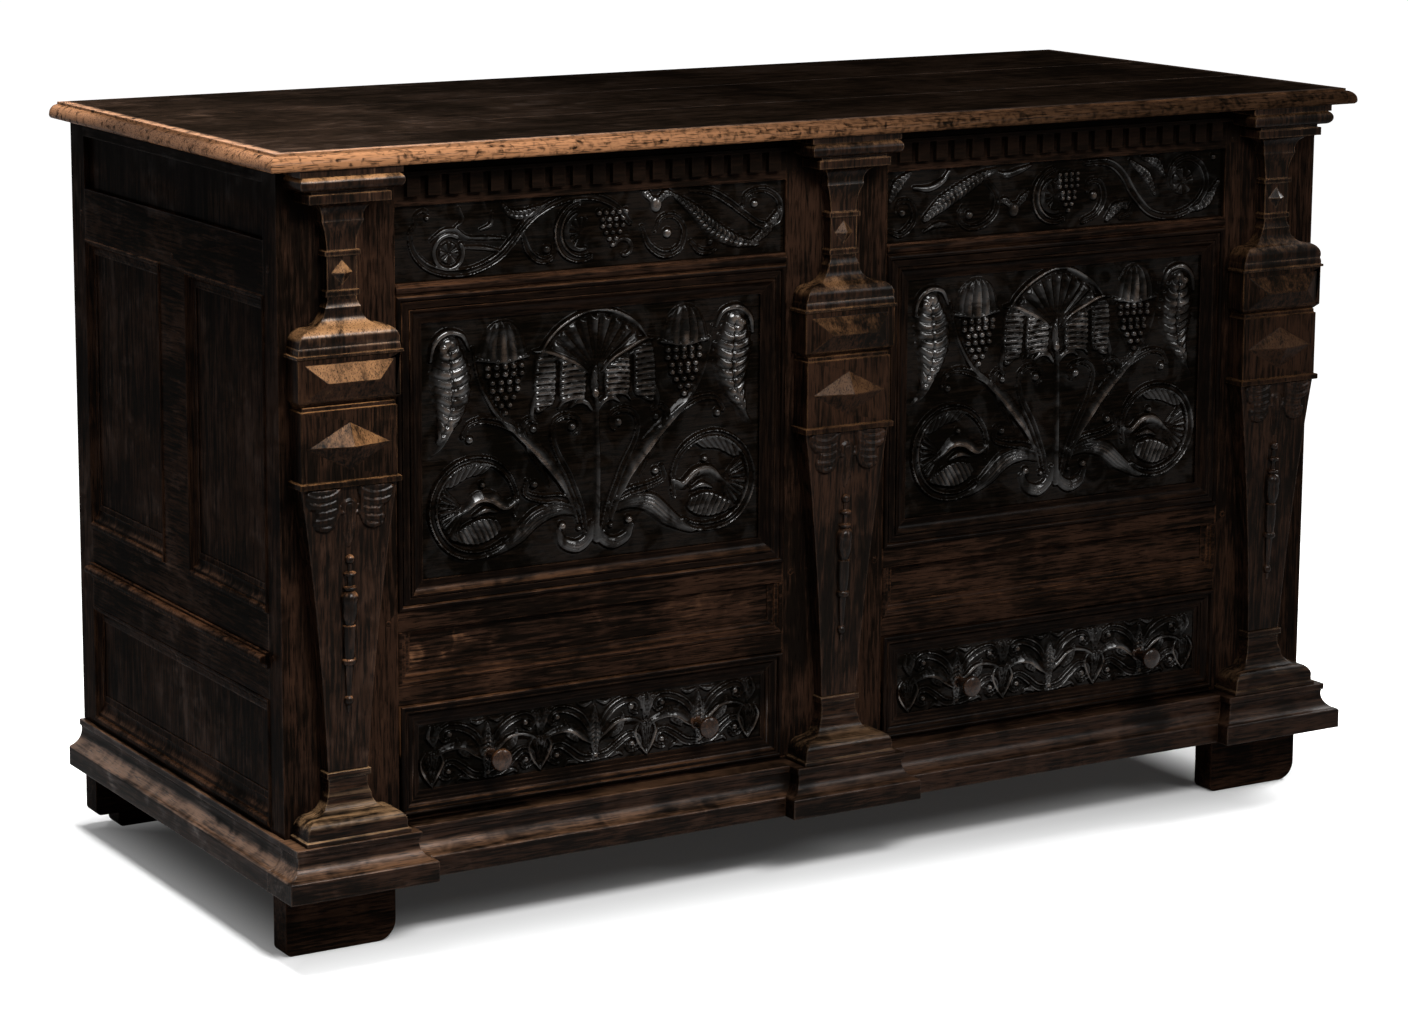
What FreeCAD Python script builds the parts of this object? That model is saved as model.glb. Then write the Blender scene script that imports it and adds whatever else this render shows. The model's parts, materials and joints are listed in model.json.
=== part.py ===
"""Joined oak cassone: a long chest with a hinged board lid and two drawers.

The front has two bays between three carved pilasters. Each bay holds, from the top, a dentil rail,
a carved frieze, a large framed panel, a low plain panel and a drawer. The ends and the back are
panelled frames. A moulded plinth breaks forward under each pilaster, and four block feet carry it.

Frame: X along the length, to the right seen from the front; the front faces -Y; Z is up.
The origin is on the floor under the middle of the whole chest, and the units are millimetres.
"""
import FreeCAD, Part
import math
import os

# Overall sizes of the carcass
carcass_w = 1500.0
carcass_d = 610.0
foot_h = 83.0
lid_under_z = 920.0
lid_t = 20.0

# Clearances
running_gap = 0.3
pin_gap = 0.05
overrun = 20.0

# Front frame. The heights are those of its rails and openings: first from the feet up to the main
# panel, then from the lid down to it
stile_w = 148.0
front_t = 36.0
plinth_h = 59.0
bottom_rail_rise = 4.5
drawer_opening_h = 134.5
drawer_head_h = 23.0
low_panel_h = 64.0
mid_rail_h = 25.0
top_rail_h = 54.0
frieze_h = 89.0
frieze_rail_h = 14.0

# Panels of the front and their recess behind the stiles
panel_t = 12.0
groove = 6.0
frieze_recess = 6.0
main_recess = 5.0
low_recess = 8.0

# Tenons and pegs
tenon_l = 25.0
tenon_t = 10.0
tenon_shoulder = 2.0
front_tenon_set = 22.0
peg_r = 3.5
peg_l = 34.0
peg_proud = 0.6
peg_inset = 12.0

# Dentil band on the top rail
dentil_up = 12.0
dentil_h = 24.0
dentil_w = 17.0
dentil_pitch = 27.0
dentil_proud = 8.0
dentil_fillet_h = 5.0

# Mitred mouldings of the front
main_mould_w = 34.0
main_mould_proud = 5.0
low_mould_w = 18.0
low_mould_proud = 1.0
drawer_mould_w = 27.0
drawer_mould_proud = 5.0

# Pilasters, from the top down
pilaster_w = 134.0
pilaster_d = 46.0
capital_h = 214.0
neck_lozenge_w = 26.0
neck_lozenge_h = 28.0
neck_lozenge_proud = 8.0
neck_lozenge_up = 93.0
block_h = 56.0
block_w = 129.0
block_d = 33.0
block_chamfer = 6.0
hip_w = 113.0
hip_h = 42.0
hip_inset = 24.0
hip_proud = 12.0
cove_h = 5.0
lozenge_block_h = 82.0
lozenge_block_w = 121.0
lozenge_block_d = 31.0
lozenge_w = 104.0
lozenge_h = 54.0
lozenge_proud = 14.0
lozenge_up = 40.0
string_h = 7.0
string_w = 128.0
string_d = 35.0
shaft_top_w = 120.0
shaft_foot_w = 51.0
shaft_top_d = 29.0
shaft_foot_d = 17.0
shaft_hollow = 4.0
turning_drop = 80.0
turning_up = 70.0
turning_r = 10.0
base_h = 77.0

# Plinth
plinth_lip = 22.0
break_half_w = 94.0
break_d = 42.0
recess_d = 22.0

# Feet
foot_w = 142.0
foot_t = 34.0
foot_round = 24.0
foot_corner = 8.0
rear_pad_w = 30.0
rear_pad_lift = 19.0

# End frames
rear_stile_t = 42.0
rear_stile_w = 92.0
end_t = 28.0
end_panel_t = 8.0
end_recess = 7.0
end_tenon_set = 16.0
end_rail_rise = 5.0
end_lower_h = 153.0
end_mid_rail_h = 102.0
end_top_rail_h = 20.0
end_frieze_h = 66.0
end_frieze_rail_h = 63.0
end_muntin_w = 76.0
end_muntin_off = 6.0
end_side_mould_w = 18.0
end_sill_mould_w = 31.0
end_lower_sill_w = 38.0
end_mould_proud = 2.0
band_up = 37.0
band_h = 19.0
band_proud = 9.0

# Back frame
back_t = 26.0
back_panel_t = 8.0
back_recess = 4.0
back_tenon_set = 13.5
back_bottom_rail_h = 82.0
back_low_panel_h = 97.0
back_mid_rail_h = 60.0
back_top_rail_h = 70.0
back_muntin_w = 96.0

# Floor of the chest well
floor_up = 4.0
floor_t = 15.0
floor_boards = 4
ledge_h = 18.0
ledge_w = 20.0

# Lid
lid_overhang_end = 28.0
lid_overhang_front = 50.0
lid_planks = 3
lid_thumb_w = 11.0
lid_quirk = 3.0
lid_nose_h = 6.0
batten_w = 52.0
batten_t = 18.0
batten_inset = 45.0
batten_set = 14.0

# Drawers
drawer_gap = 1.0
drawer_front_t = 22.0
drawer_side_t = 12.0
drawer_bottom_t = 8.0
drawer_bottom_up = 8.0
drawer_box_low = 20.5
drawer_back_gap = 12.0
drawer_slot = 5.0
runner_h = 24.0
runner_w = 24.0
guide_h = 22.0
guide_w = 20.0
knob_spread = 286.0
knob_up = 59.5
knob_l = 38.0
knob_r = 13.0
knob_shank_r = 6.0

# Strap hinges
hinge_x = 430.0
hinge_t = 3.0
barrel_r = 6.0
pin_r = 3.0
pin_head_r = 4.5
pin_head_h = 1.5
middle_knuckle_l = 16.0
end_knuckle_l = 10.0
knuckle_gap = 0.5
strap_set = 1.5
strap_w = 30.0
strap_l = 235.0
strap_point_l = 22.0
back_leaf_h = 62.0
nail_head_r = 4.0
nail_head_h = 1.8
nail_shank_r = 1.6
nail_shank_l = 10.0
nail_edge = 14.0
nails_each = 3

# Profiles. Each row is (across, out, bulge): shares of the moulding's width and height, and the rise
# of the arc that ends there as a share of its chord, positive where it swells outward.
main_mould_shares = [
    (0.0, 0.0, 0.0), (0.0, 0.62, 0.0), (0.18, 0.62, 0.5), (0.18, 0.46, 0.0), (0.22, 0.46, 0.0),
    (0.22, 0.7, 0.0), (0.44, 0.82, 0.0), (0.44, 0.6, 0.0), (0.49, 0.6, 0.0), (0.49, 0.9, 0.0),
    (0.55, 0.9, 0.0), (0.94, 0.3, -0.14), (1.0, 0.3, 0.0), (1.0, 0.0, 0.0)]
drawer_mould_shares = [
    (0.0, 0.0, 0.0), (0.0, 0.78, 0.0), (0.2, 0.78, 0.5), (0.2, 0.64, 0.0), (0.3, 0.64, 0.0),
    (0.3, 0.74, 0.0), (0.36, 0.74, 0.0), (0.62, 0.4, -0.16), (0.62, 0.3, 0.0), (0.78, 0.3, 0.0),
    (0.78, 0.16, 0.0), (1.0, 0.1, 0.0), (1.0, 0.0, 0.0)]
end_mould_shares = [
    (0.0, 0.0, 0.0), (0.0, 0.8, 0.0), (0.24, 0.8, 0.45), (0.24, 0.66, 0.0), (0.34, 0.66, 0.0),
    (0.78, 0.28, -0.14), (0.78, 0.2, 0.0), (1.0, 0.14, 0.0), (1.0, 0.0, 0.0)]
band_shares = [
    (0.0, 0.0, 0.0), (0.0, 0.3, 0.0), (0.34, 0.62, -0.2), (0.34, 0.78, 0.0), (0.84, 0.78, 0.5),
    (0.84, 0.4, 0.0), (1.0, 0.4, 0.0), (1.0, 0.0, 0.0)]
low_mould_shares = [
    (0.0, 0.0, 0.0), (0.0, 0.86, 0.0), (0.3, 0.86, 0.4), (0.3, 0.72, 0.0), (0.58, 0.62, 0.0),
    (0.58, 0.44, 0.0), (0.94, 0.14, -0.14), (1.0, 0.14, 0.0), (1.0, 0.0, 0.0)]
plinth_shares = [
    (0.0, 1.0, 0.0), (0.37, 1.0, 0.0), (0.44, 0.86, 0.2), (0.865, 0.23, -0.2), (0.865, 0.32, 0.0),
    (1.0, 0.32, 0.0)]

# Pilaster profiles. Each row is (height, width, depth, bulge), shares of the piece's own sizes.
neck_share = 0.33
capital_shares = [
    (0.0, 1.0, 0.76, 0.0), (0.015, 1.0, 0.76, 0.0), (0.015, 0.955, 0.72, 0.0),
    (0.055, 0.94, 0.70, 0.08), (0.148, 0.68, 0.57, 0.22), (0.25, 0.33, 0.38, -0.2),
    (0.29, 0.275, 0.325, -0.05), (0.31, 0.275, 0.325, 0.0), (0.31, 0.315, 0.37, 0.0),
    (0.34, 0.315, 0.37, 0.0), (0.34, 0.28, neck_share, 0.0), (0.525, 0.28, neck_share, 0.0),
    (0.525, 0.33, 0.39, 0.0), (0.552, 0.33, 0.39, 0.0), (0.552, 0.275, 0.325, 0.0),
    (0.709, 0.39, 0.42, -0.06), (0.817, 0.7, 0.8, -0.26), (0.817, 0.765, 0.86, 0.0),
    (0.865, 0.765, 0.86, 0.0), (0.865, 0.7, 0.8, 0.0), (0.885, 0.7, 0.8, 0.0),
    (0.885, 0.88, 0.9, 0.0), (0.963, 0.88, 0.9, 0.36), (0.963, 0.955, 0.955, 0.0),
    (1.0, 0.955, 0.955, 0.0)]
base_shares = [
    (0.0, 1.0, 1.0, 0.0), (0.07, 1.0, 1.0, 0.0), (0.07, 0.955, 0.94, 0.0),
    (0.14, 0.95, 0.93, 0.0), (0.36, 0.74, 0.74, 0.2), (0.62, 0.42, 0.44, -0.2),
    (0.76, 0.375, 0.37, -0.04), (0.9, 0.375, 0.37, 0.0), (0.9, 0.42, 0.44, 0.0),
    (1.0, 0.42, 0.44, 0.0)]

# Turned profiles. Each row is (length, radius, bulge), shares of the piece's own sizes. The last row
# is the tip of a dome.
turning_shares = [
    (0.0, 0.0, 0.0), (0.0, 0.14, 0.0), (0.045, 0.3, 0.0), (0.104, 0.3, 0.26), (0.126, 0.36, 0.0),
    (0.305, 0.56, 0.0), (0.305, 0.78, 0.0), (0.342, 0.78, 0.2), (0.342, 0.64, 0.0),
    (0.36, 0.7, 0.0), (0.551, 0.8, 0.02), (0.556, 0.62, 0.0), (0.69, 1.0, 0.08),
    (0.77, 0.56, 0.2), (0.775, 0.66, 0.0), (0.8, 0.66, 0.4), (0.8, 0.4, 0.0), (0.865, 0.4, -0.1),
    (0.865, 0.64, 0.0), (0.89, 0.64, 0.4), (0.895, 0.32, 0.0), (0.94, 0.28, 0.0), (1.0, 0.0, 0.0)]
knob_shares = [
    (0.0, 0.0, 0.0), (0.0, 0.6, 0.0), (0.1, 0.6, 0.3), (0.1, 0.48, 0.0), (0.25, 0.5, -0.05),
    (0.78, 0.96, -0.04), (0.93, 0.92, 0.24), (1.0, 0.0, 0.0)]

# Rises of the arcs on the frieze rail's bead, the lid's edge and the feet, as shares of their chords
bead_share = 0.4
nose_share = 0.2
corner_share = 0.207

# Worked-out heights of the front
plinth_top_z = foot_h + plinth_h
bottom_rail_top_z = plinth_top_z + bottom_rail_rise
drawer_head_z = bottom_rail_top_z + drawer_opening_h
low_panel_z = drawer_head_z + drawer_head_h
low_panel_top_z = low_panel_z + low_panel_h
main_z = low_panel_top_z + mid_rail_h
frieze_top_z = lid_under_z - top_rail_h
frieze_z = frieze_top_z - frieze_h
main_top_z = frieze_z - frieze_rail_h
dentil_z = frieze_top_z + dentil_up

# Worked-out heights of the pilasters
block_top_z = lid_under_z - capital_h
neck_lozenge_mid_z = block_top_z + neck_lozenge_up
block_z = block_top_z - block_h
lozenge_top_z = block_z - cove_h
lozenge_z = lozenge_top_z - lozenge_block_h
lozenge_mid_z = lozenge_z + lozenge_up
string_z = lozenge_z - string_h
shaft_z = plinth_top_z + base_h
turning_z = shaft_z + turning_up
turning_h = string_z - turning_drop - turning_z

# Worked-out heights of the ends, the back, the floor of the well and the knobs
end_bottom_top_z = plinth_top_z + end_rail_rise
end_lower_top_z = end_bottom_top_z + end_lower_h
band_z = end_lower_top_z + band_up
end_upper_z = end_lower_top_z + end_mid_rail_h
end_frieze_top_z = lid_under_z - end_top_rail_h
end_frieze_z = end_frieze_top_z - end_frieze_h
end_upper_top_z = end_frieze_z - end_frieze_rail_h
back_bottom_top_z = foot_h + back_bottom_rail_h
back_mid_z = back_bottom_top_z + back_low_panel_h
back_mid_top_z = back_mid_z + back_mid_rail_h
back_top_z = lid_under_z - back_top_rail_h
floor_z = drawer_head_z + floor_up
knob_z = bottom_rail_top_z + knob_up

# Worked-out places
half_w = carcass_w / 2
bay_w = (carcass_w - 3 * stile_w) / 2
bay_mid = (bay_w + stile_w) / 2
bay_x = [-bay_mid, bay_mid]
side_names = ["left", "right"]
pilaster_x = [-half_w + stile_w / 2, 0, half_w - stile_w / 2]
pilaster_names = ["left", "centre", "right"]
plinth_out = break_d + plinth_lip
axis_out = barrel_r + running_gap
front_y = plinth_out - (plinth_out + carcass_d + axis_out + barrel_r) / 2
back_y = front_y + carcass_d
axis_y = back_y + axis_out
axis_z = lid_under_z - barrel_r
strap_y = back_y - back_t - strap_set
drawer_z = bottom_rail_top_z + drawer_gap
drawer_top_z = drawer_head_z - drawer_gap


def vec(x, y, z):
    return FreeCAD.Vector(x, y, z)


def slab(x0, x1, y0, y1, z0, z1):
    """A rectangular board between two corners."""
    return Part.makeBox(x1 - x0, y1 - y0, z1 - z0, vec(x0, y0, z0))


def arc_mid(start, end, bulge_share):
    """The middle point of an arc whose rise, to the right of its chord, is a share of the chord."""
    along = end.sub(start)
    side = vec(along.y, -along.x, 0)
    return start.add(along.multiply(0.5)).add(side.multiply(bulge_share))


def outline_edges(rows):
    """Edges through rows of (x, y, bulge) in the XY plane. A bulge swells the edge that ends there."""
    edges = []
    for before, row in zip(rows, rows[1:]):
        start, end = vec(before[0], before[1], 0), vec(row[0], row[1], 0)
        if row[2]:
            edges.append(Part.Arc(start, arc_mid(start, end, row[2]), end).toShape())
        else:
            edges.append(Part.makeLine(start, end))
    return edges


def outline_face(rows):
    """The closed face inside rows of (x, y, bulge). Its last edge is a straight one."""
    closed = list(rows)
    if (rows[0][0], rows[0][1]) != (rows[-1][0], rows[-1][1]):
        closed.append((rows[0][0], rows[0][1], 0))
    return Part.Face(Part.Wire(outline_edges(closed)))


def moved(shape, x, y, z):
    """A copy of the shape, moved."""
    copy = shape.copy()
    copy.translate(vec(x, y, z))
    return copy


def turned(shape, axis, degrees):
    """A copy of the shape, turned about an axis through the origin."""
    copy = shape.copy()
    copy.rotate(vec(0, 0, 0), axis, degrees)
    return copy


def mirrored(shape):
    """The shape seen in a mirror on the chest's middle plane."""
    return shape.mirror(vec(0, 0, 0), vec(1, 0, 0))


def extruded_x(rows, x0, x1):
    """Rows of (out, z, bulge) drawn in front of the Y = 0 plane and run from x0 to x1."""
    face = turned(outline_face(rows), vec(1, 0, 0), 90)
    face = turned(face, vec(0, 0, 1), -90)
    return moved(face, x0, 0, 0).extrude(vec(x1 - x0, 0, 0))


def extruded_y(rows, y0, y1):
    """Rows of (x, z, bulge) run from y0 to y1."""
    face = turned(outline_face(rows), vec(1, 0, 0), 90)
    return moved(face, 0, y0, 0).extrude(vec(0, y1 - y0, 0))


def reversed_rows(rows):
    """The same outline walked the other way."""
    bulges = [0] + [-row[2] for row in rows[:0:-1]]
    return [(row[0], row[1], bulge) for row, bulge in zip(rows[::-1], bulges)]


def stepped_block(shares, half_width, depth, z0, height):
    """A block against the Y = 0 plane whose width and depth follow the rows of shares as it rises."""
    outs = [(depth * d, z0 + height * h, b) for h, w, d, b in shares]
    sides = [(half_width * w, z0 + height * h, b) for h, w, d, b in shares]
    front = [(0, outs[0][1], 0)] + [(outs[0][0], outs[0][1], 0)] + outs[1:] + [(0, outs[-1][1], 0)]
    left = [(-x, z, -b) for x, z, b in sides]
    across = [(sides[0][0], sides[0][1], 0)] + sides[1:]
    across += [(left[-1][0], left[-1][1], 0)] + reversed_rows(left)[1:]
    return extruded_x(front, -half_width - overrun, half_width + overrun).common(
        extruded_y(across, -depth - overrun, 0))


def dome_bulge(across, along):
    """The bulge of an arc that ends square to the axis of a turning."""
    return math.tan(math.asin(along / math.hypot(across, along)) / 2) / 2


def turned_rows(shares, length, radius):
    """Rows of (radius, height, bulge) for a turning, with a dome at its tip."""
    rows = [(radius * r, length * along, b) for along, r, b in shares]
    rim = rows[-2]
    return rows[:-1] + [(0, length, dome_bulge(rim[0], length - rim[1]))]


def revolved(rows, degrees):
    """A solid turned about the Z axis from rows of (radius, height, bulge)."""
    face = turned(outline_face(rows), vec(1, 0, 0), 90)
    return face.revolve(vec(0, 0, 0), vec(0, 0, 1), degrees)


def solid_of_faces(corner_lists):
    """A closed solid from the corners of its flat faces."""
    faces = [Part.Face(Part.makePolygon([vec(*c) for c in corners + corners[:1]]))
             for corners in corner_lists]
    solid = Part.Solid(Part.Shell(faces))
    solid.fix(0, 0, 0)
    return solid


def cut_all(shape, tools):
    """The shape less every tool whose box reaches it."""
    near = [t for t in tools if shape.BoundBox.intersect(t.BoundBox)]
    return shape.cut(near) if near else shape


def write(node, solids):
    """One STEP for a node, from its separate solids."""
    kept = [s for shape in solids for s in shape.Solids]
    shape = kept[0] if len(kept) == 1 else Part.makeCompound(kept)
    shape.exportStep("parts/" + node + ".step")


# Flat frames are drawn in a front view: X across, Z up, and Y running inward from the outer face.

def rail(x0, x1, z0, z1, thickness, tenon_set):
    """A rail with a tenon past each end."""
    body = slab(x0, x1, 0, thickness, z0, z1)
    tenon = slab(x0 - tenon_l, x1 + tenon_l, tenon_set, tenon_set + tenon_t,
                 z0 + tenon_shoulder, z1 - tenon_shoulder)
    return body.fuse(tenon).removeSplitter()


def muntin(x0, x1, z0, z1, thickness, tenon_set):
    """An upright with a tenon at its top and its foot."""
    body = slab(x0, x1, 0, thickness, z0, z1)
    tenon = slab(x0 + tenon_shoulder, x1 - tenon_shoulder, tenon_set, tenon_set + tenon_t,
                 z0 - tenon_l, z1 + tenon_l)
    return body.fuse(tenon).removeSplitter()


def panel(x0, x1, z0, z1, recess, thickness):
    """A panel whose edges run into the grooves of the frame round it."""
    return slab(x0 - groove, x1 + groove, recess, recess + thickness, z0 - groove, z1 + groove)


def joined(members, tongues):
    """Frame members, each cut for the tenons and panel edges that run into it."""
    shaped = []
    for member in members:
        others = [t for t in tongues if not t.isSame(member)]
        shaped.append(cut_all(member, others))
    return shaped


def moulding_length(corners, shares, width, seat, proud):
    """One mitred length. corners are its four (x, z) points: outer start, outer end, inner end, inner
    start. It lies on a face at depth seat and stands proud of the Y = 0 plane."""
    (ax, az), (bx, bz), (cx, cz), (dx, dz) = corners
    length = math.hypot(bx - ax, bz - az)
    angle = math.degrees(math.atan2(bz - az, bx - ax))
    height = seat + proud
    rows = [(height * out - seat, width * across, b) for across, out, b in shares]
    bar = extruded_x(rows, -overrun, length + overrun)
    bar = moved(turned(bar, vec(0, 1, 0), -angle), ax, 0, az)
    mitre = [(ax, az, 0), (bx, bz, 0), (cx, cz, 0), (dx, dz, 0)]
    return bar.common(extruded_y(mitre, -proud - overrun, seat + overrun))


def mitred_frame(x0, x1, z0, z1, shares, widths, seat, proud):
    """Mitred lengths inside a rectangle. widths are those of the bottom, sides and top, and a width
    of nought leaves that length out."""
    low, side, high = widths
    outer = [(x0, z0), (x1, z0), (x1, z1), (x0, z1)]
    inner = [(x0 + side, z0 + low), (x1 - side, z0 + low), (x1 - side, z1 - high), (x0 + side, z1 - high)]
    lengths = []
    for i, width in enumerate([low, side, high, side]):
        j = (i + 1) % len(outer)
        if width:
            lengths.append(moulding_length([outer[i], outer[j], inner[j], inner[i]],
                                           shares, width, seat, proud))
    return lengths


def dentil_band(x0, x1):
    """The row of small blocks across one top rail, with the fillet that they hang from."""
    count = int((x1 - x0) // dentil_pitch)
    start = (x0 + x1 - (count - 1) * dentil_pitch - dentil_w) / 2
    top = dentil_z + dentil_h
    blocks = [slab(start + i * dentil_pitch, start + i * dentil_pitch + dentil_w,
                   -dentil_proud, 0, dentil_z, top) for i in range(count)]
    fillet = slab(x0, x1, -dentil_proud - tenon_shoulder, 0, top, top + dentil_fillet_h)
    return blocks + [fillet]


def frieze_rail(x0, x1):
    """The narrow rail under a frieze, with a bead along its face."""
    body = rail(x0, x1, main_top_z, frieze_z, front_t, front_tenon_set)
    bead = extruded_x([(0, main_top_z + tenon_shoulder, 0), (0, frieze_z - tenon_shoulder, bead_share)],
                      x0, x1)
    return body.fuse(bead)


def front_frame():
    """Stiles, muntin, rails and panels of the front, as {node: solids}."""
    stiles = [slab(-half_w, -half_w + stile_w, 0, front_t, foot_h, lid_under_z),
              slab(half_w - stile_w, half_w, 0, front_t, foot_h, lid_under_z)]
    tenon = slab(-stile_w / 2 + tenon_shoulder, stile_w / 2 - tenon_shoulder, front_tenon_set,
                 front_tenon_set + tenon_t, bottom_rail_top_z - tenon_l, bottom_rail_top_z)
    post = slab(-stile_w / 2, stile_w / 2, 0, front_t, bottom_rail_top_z, lid_under_z).fuse(tenon)
    foot_rail = rail(-half_w + stile_w, half_w - stile_w, foot_h, bottom_rail_top_z, front_t,
                     front_tenon_set)
    rails, panels = {}, {}
    for side, mid in zip(side_names, bay_x):
        x0, x1 = mid - bay_w / 2, mid + bay_w / 2
        top = rail(x0, x1, frieze_top_z, lid_under_z, front_t, front_tenon_set)
        top = top.fuse(dentil_band(x0, x1)).removeSplitter()
        rails[side] = [top, frieze_rail(x0, x1),
                       rail(x0, x1, low_panel_top_z, main_z, front_t, front_tenon_set),
                       rail(x0, x1, drawer_head_z, low_panel_z, front_t, front_tenon_set)]
        panels[side] = [panel(x0, x1, frieze_z, frieze_top_z, frieze_recess, panel_t),
                        panel(x0, x1, main_z, main_top_z, main_recess, panel_t),
                        panel(x0, x1, low_panel_z, low_panel_top_z, low_recess, panel_t)]
    bay_rails = rails["left"] + rails["right"]
    bay_panels = panels["left"] + panels["right"]
    stiles = joined(stiles, bay_rails + bay_panels + [foot_rail])
    foot_rail = joined([foot_rail], [post])[0]
    post = joined([post], bay_rails + bay_panels)[0]
    nodes = {"front_stile_left": [stiles[0]], "front_stile_right": [stiles[1]],
             "front_muntin": [post], "front_bottom_rail": [foot_rail]}
    for side in side_names:
        nodes["bay_rails_" + side] = joined(rails[side], bay_panels)
        for name, board in zip(["frieze_panel_", "main_panel_"], panels[side]):
            nodes[name + side] = [board]
    nodes["low_panels"] = [panels[side][-1] for side in side_names]
    return nodes


def panel_mouldings():
    """The mitred frames round the two carved panels, and the three-sided ones of the low panels."""
    nodes, low = {}, []
    for side, mid in zip(side_names, bay_x):
        x0, x1 = mid - bay_w / 2, mid + bay_w / 2
        nodes["main_moulding_" + side] = mitred_frame(
            x0, x1, main_z, main_top_z, main_mould_shares, [main_mould_w, main_mould_w, main_mould_w],
            main_recess, main_mould_proud)
        low += mitred_frame(x0, x1, low_panel_z, low_panel_top_z, low_mould_shares,
                            [low_mould_w, low_mould_w, 0], low_recess, low_mould_proud)
    nodes["low_mouldings"] = low
    return nodes


def pyramid(width, height, ridge, proud, mid_z, base_out):
    """A hipped or pointed boss on a face that lies base_out in front of the Y = 0 plane."""
    x, z = width / 2, height / 2
    y, tip = -base_out, -base_out - proud
    base = [(-x, y, mid_z - z), (x, y, mid_z - z), (x, y, mid_z + z), (-x, y, mid_z + z)]
    if ridge:
        left, right = (-ridge / 2, tip, mid_z), (ridge / 2, tip, mid_z)
        return solid_of_faces([base, [base[0], base[1], right, left], [base[2], base[3], left, right],
                               [base[1], base[2], right], [base[3], base[0], left]])
    apex = (0, tip, mid_z)
    base = [(-x, y, mid_z), (0, y, mid_z - z), (x, y, mid_z), (0, y, mid_z + z)]
    return solid_of_faces([base] + [[a, b, apex] for a, b in zip(base, base[1:] + base[:1])])


def capital():
    """Cap, neck with its small lozenge, and upper bell of a pilaster."""
    body = stepped_block(capital_shares, pilaster_w / 2, pilaster_d, block_top_z, capital_h)
    return body.fuse(pyramid(neck_lozenge_w, neck_lozenge_h, 0, neck_lozenge_proud,
                             neck_lozenge_mid_z, pilaster_d * neck_share))


def hipped_block():
    """The raised block under the bell, with its hipped boss and chamfered foot."""
    w, c = block_w / 2, block_chamfer
    across = [(-w, block_z + c, 0), (-w + c, block_z, 0), (w - c, block_z, 0), (w, block_z + c, 0),
              (w, block_top_z, 0), (-w, block_top_z, 0)]
    out = [(0, block_z, 0), (block_d - c, block_z, 0), (block_d, block_z + c, 0),
           (block_d, block_top_z, 0), (0, block_top_z, 0)]
    body = extruded_x(out, -w, w).common(extruded_y(across, -block_d, 0))
    ridge = hip_w - 2 * hip_inset
    middle = (block_z + block_top_z) / 2
    return body.fuse(pyramid(hip_w, hip_h, ridge, hip_proud, middle, block_d))


def lozenge_block():
    """The block with the large lozenge, the cove above it and the string fillet below it."""
    w = lozenge_block_w / 2
    body = slab(-w, w, -lozenge_block_d, 0, lozenge_z, lozenge_top_z)
    cove = slab(-w + tenon_shoulder, w - tenon_shoulder, -lozenge_block_d + tenon_shoulder, 0,
                lozenge_top_z, block_z)
    string = slab(-string_w / 2, string_w / 2, -string_d, 0, string_z, lozenge_z)
    boss = pyramid(lozenge_w, lozenge_h, 0, lozenge_proud, lozenge_mid_z, lozenge_block_d)
    return body.fuse([cove, string, boss]).removeSplitter()


def shaft():
    """The tapering shaft: narrower and shallower towards its foot, with slightly hollow sides."""
    top, foot = shaft_top_w / 2, shaft_foot_w / 2
    hollow_share = shaft_hollow / (string_z - shaft_z)
    across = [(foot, shaft_z, 0), (top, string_z, -hollow_share), (-top, string_z, 0),
              (-foot, shaft_z, -hollow_share)]
    out = [(0, shaft_z, 0), (shaft_foot_d, shaft_z, 0), (shaft_top_d, string_z, 0), (0, string_z, 0)]
    return extruded_x(out, -top, top).common(extruded_y(across, -shaft_top_d, 0))


def split_turning():
    """Half of a slender turned drop, laid against the sloping face of the shaft."""
    half = revolved(turned_rows(turning_shares, turning_h, turning_r), -180)
    slope = (shaft_top_d - shaft_foot_d) / (string_z - shaft_z)
    base_out = shaft_foot_d + slope * turning_up
    leaning = turned(half, vec(1, 0, 0), math.degrees(math.atan(slope)))
    return moved(leaning, 0, -base_out, turning_z)


def pilaster_base():
    """The lower bell and its fillets, standing on the plinth."""
    return stepped_block(base_shares, pilaster_w / 2, pilaster_d, plinth_top_z, base_h)


def pilasters():
    """The pieces of the three pilasters."""
    pieces = {"capital": [capital()], "blocks": [hipped_block(), lozenge_block()],
              "shaft": [shaft()]}
    nodes = {}
    for name, x in zip(pilaster_names, pilaster_x):
        for piece, solids in pieces.items():
            nodes["pilaster_" + name + "_" + piece] = [moved(s, x, 0, 0) for s in solids]
    nodes["pilaster_turnings"] = [moved(split_turning(), x, 0, 0) for x in pilaster_x]
    nodes["pilaster_bases"] = [moved(pilaster_base(), x, 0, 0) for x in pilaster_x]
    return nodes


def plinth_rows(base_out):
    """The plinth's profile as (out, z, bulge), from the bottom up, on a base line base_out forward."""
    rows = [(base_out + plinth_lip * out, foot_h + plinth_h * up, b) for up, out, b in plinth_shares]
    return [(0, foot_h, 0)] + rows + [(0, plinth_top_z, 0)]


def plinth_break(left, right):
    """A length that breaks forward under a pilaster. left and right are the base lines of its ends."""
    front = extruded_x(plinth_rows(break_d), left - plinth_lip, right + plinth_lip)
    rows = [(plinth_lip * out, foot_h + plinth_h * up, b) for up, out, b in plinth_shares]
    right_side = [(right + out, z, b) for out, z, b in rows]
    left_side = reversed_rows([(left - out, z, -b) for out, z, b in rows])
    ends = extruded_y(right_side + [(left_side[0][0], left_side[0][1], 0)] + left_side[1:],
                      -plinth_out, 0)
    return front.common(ends)


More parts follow.
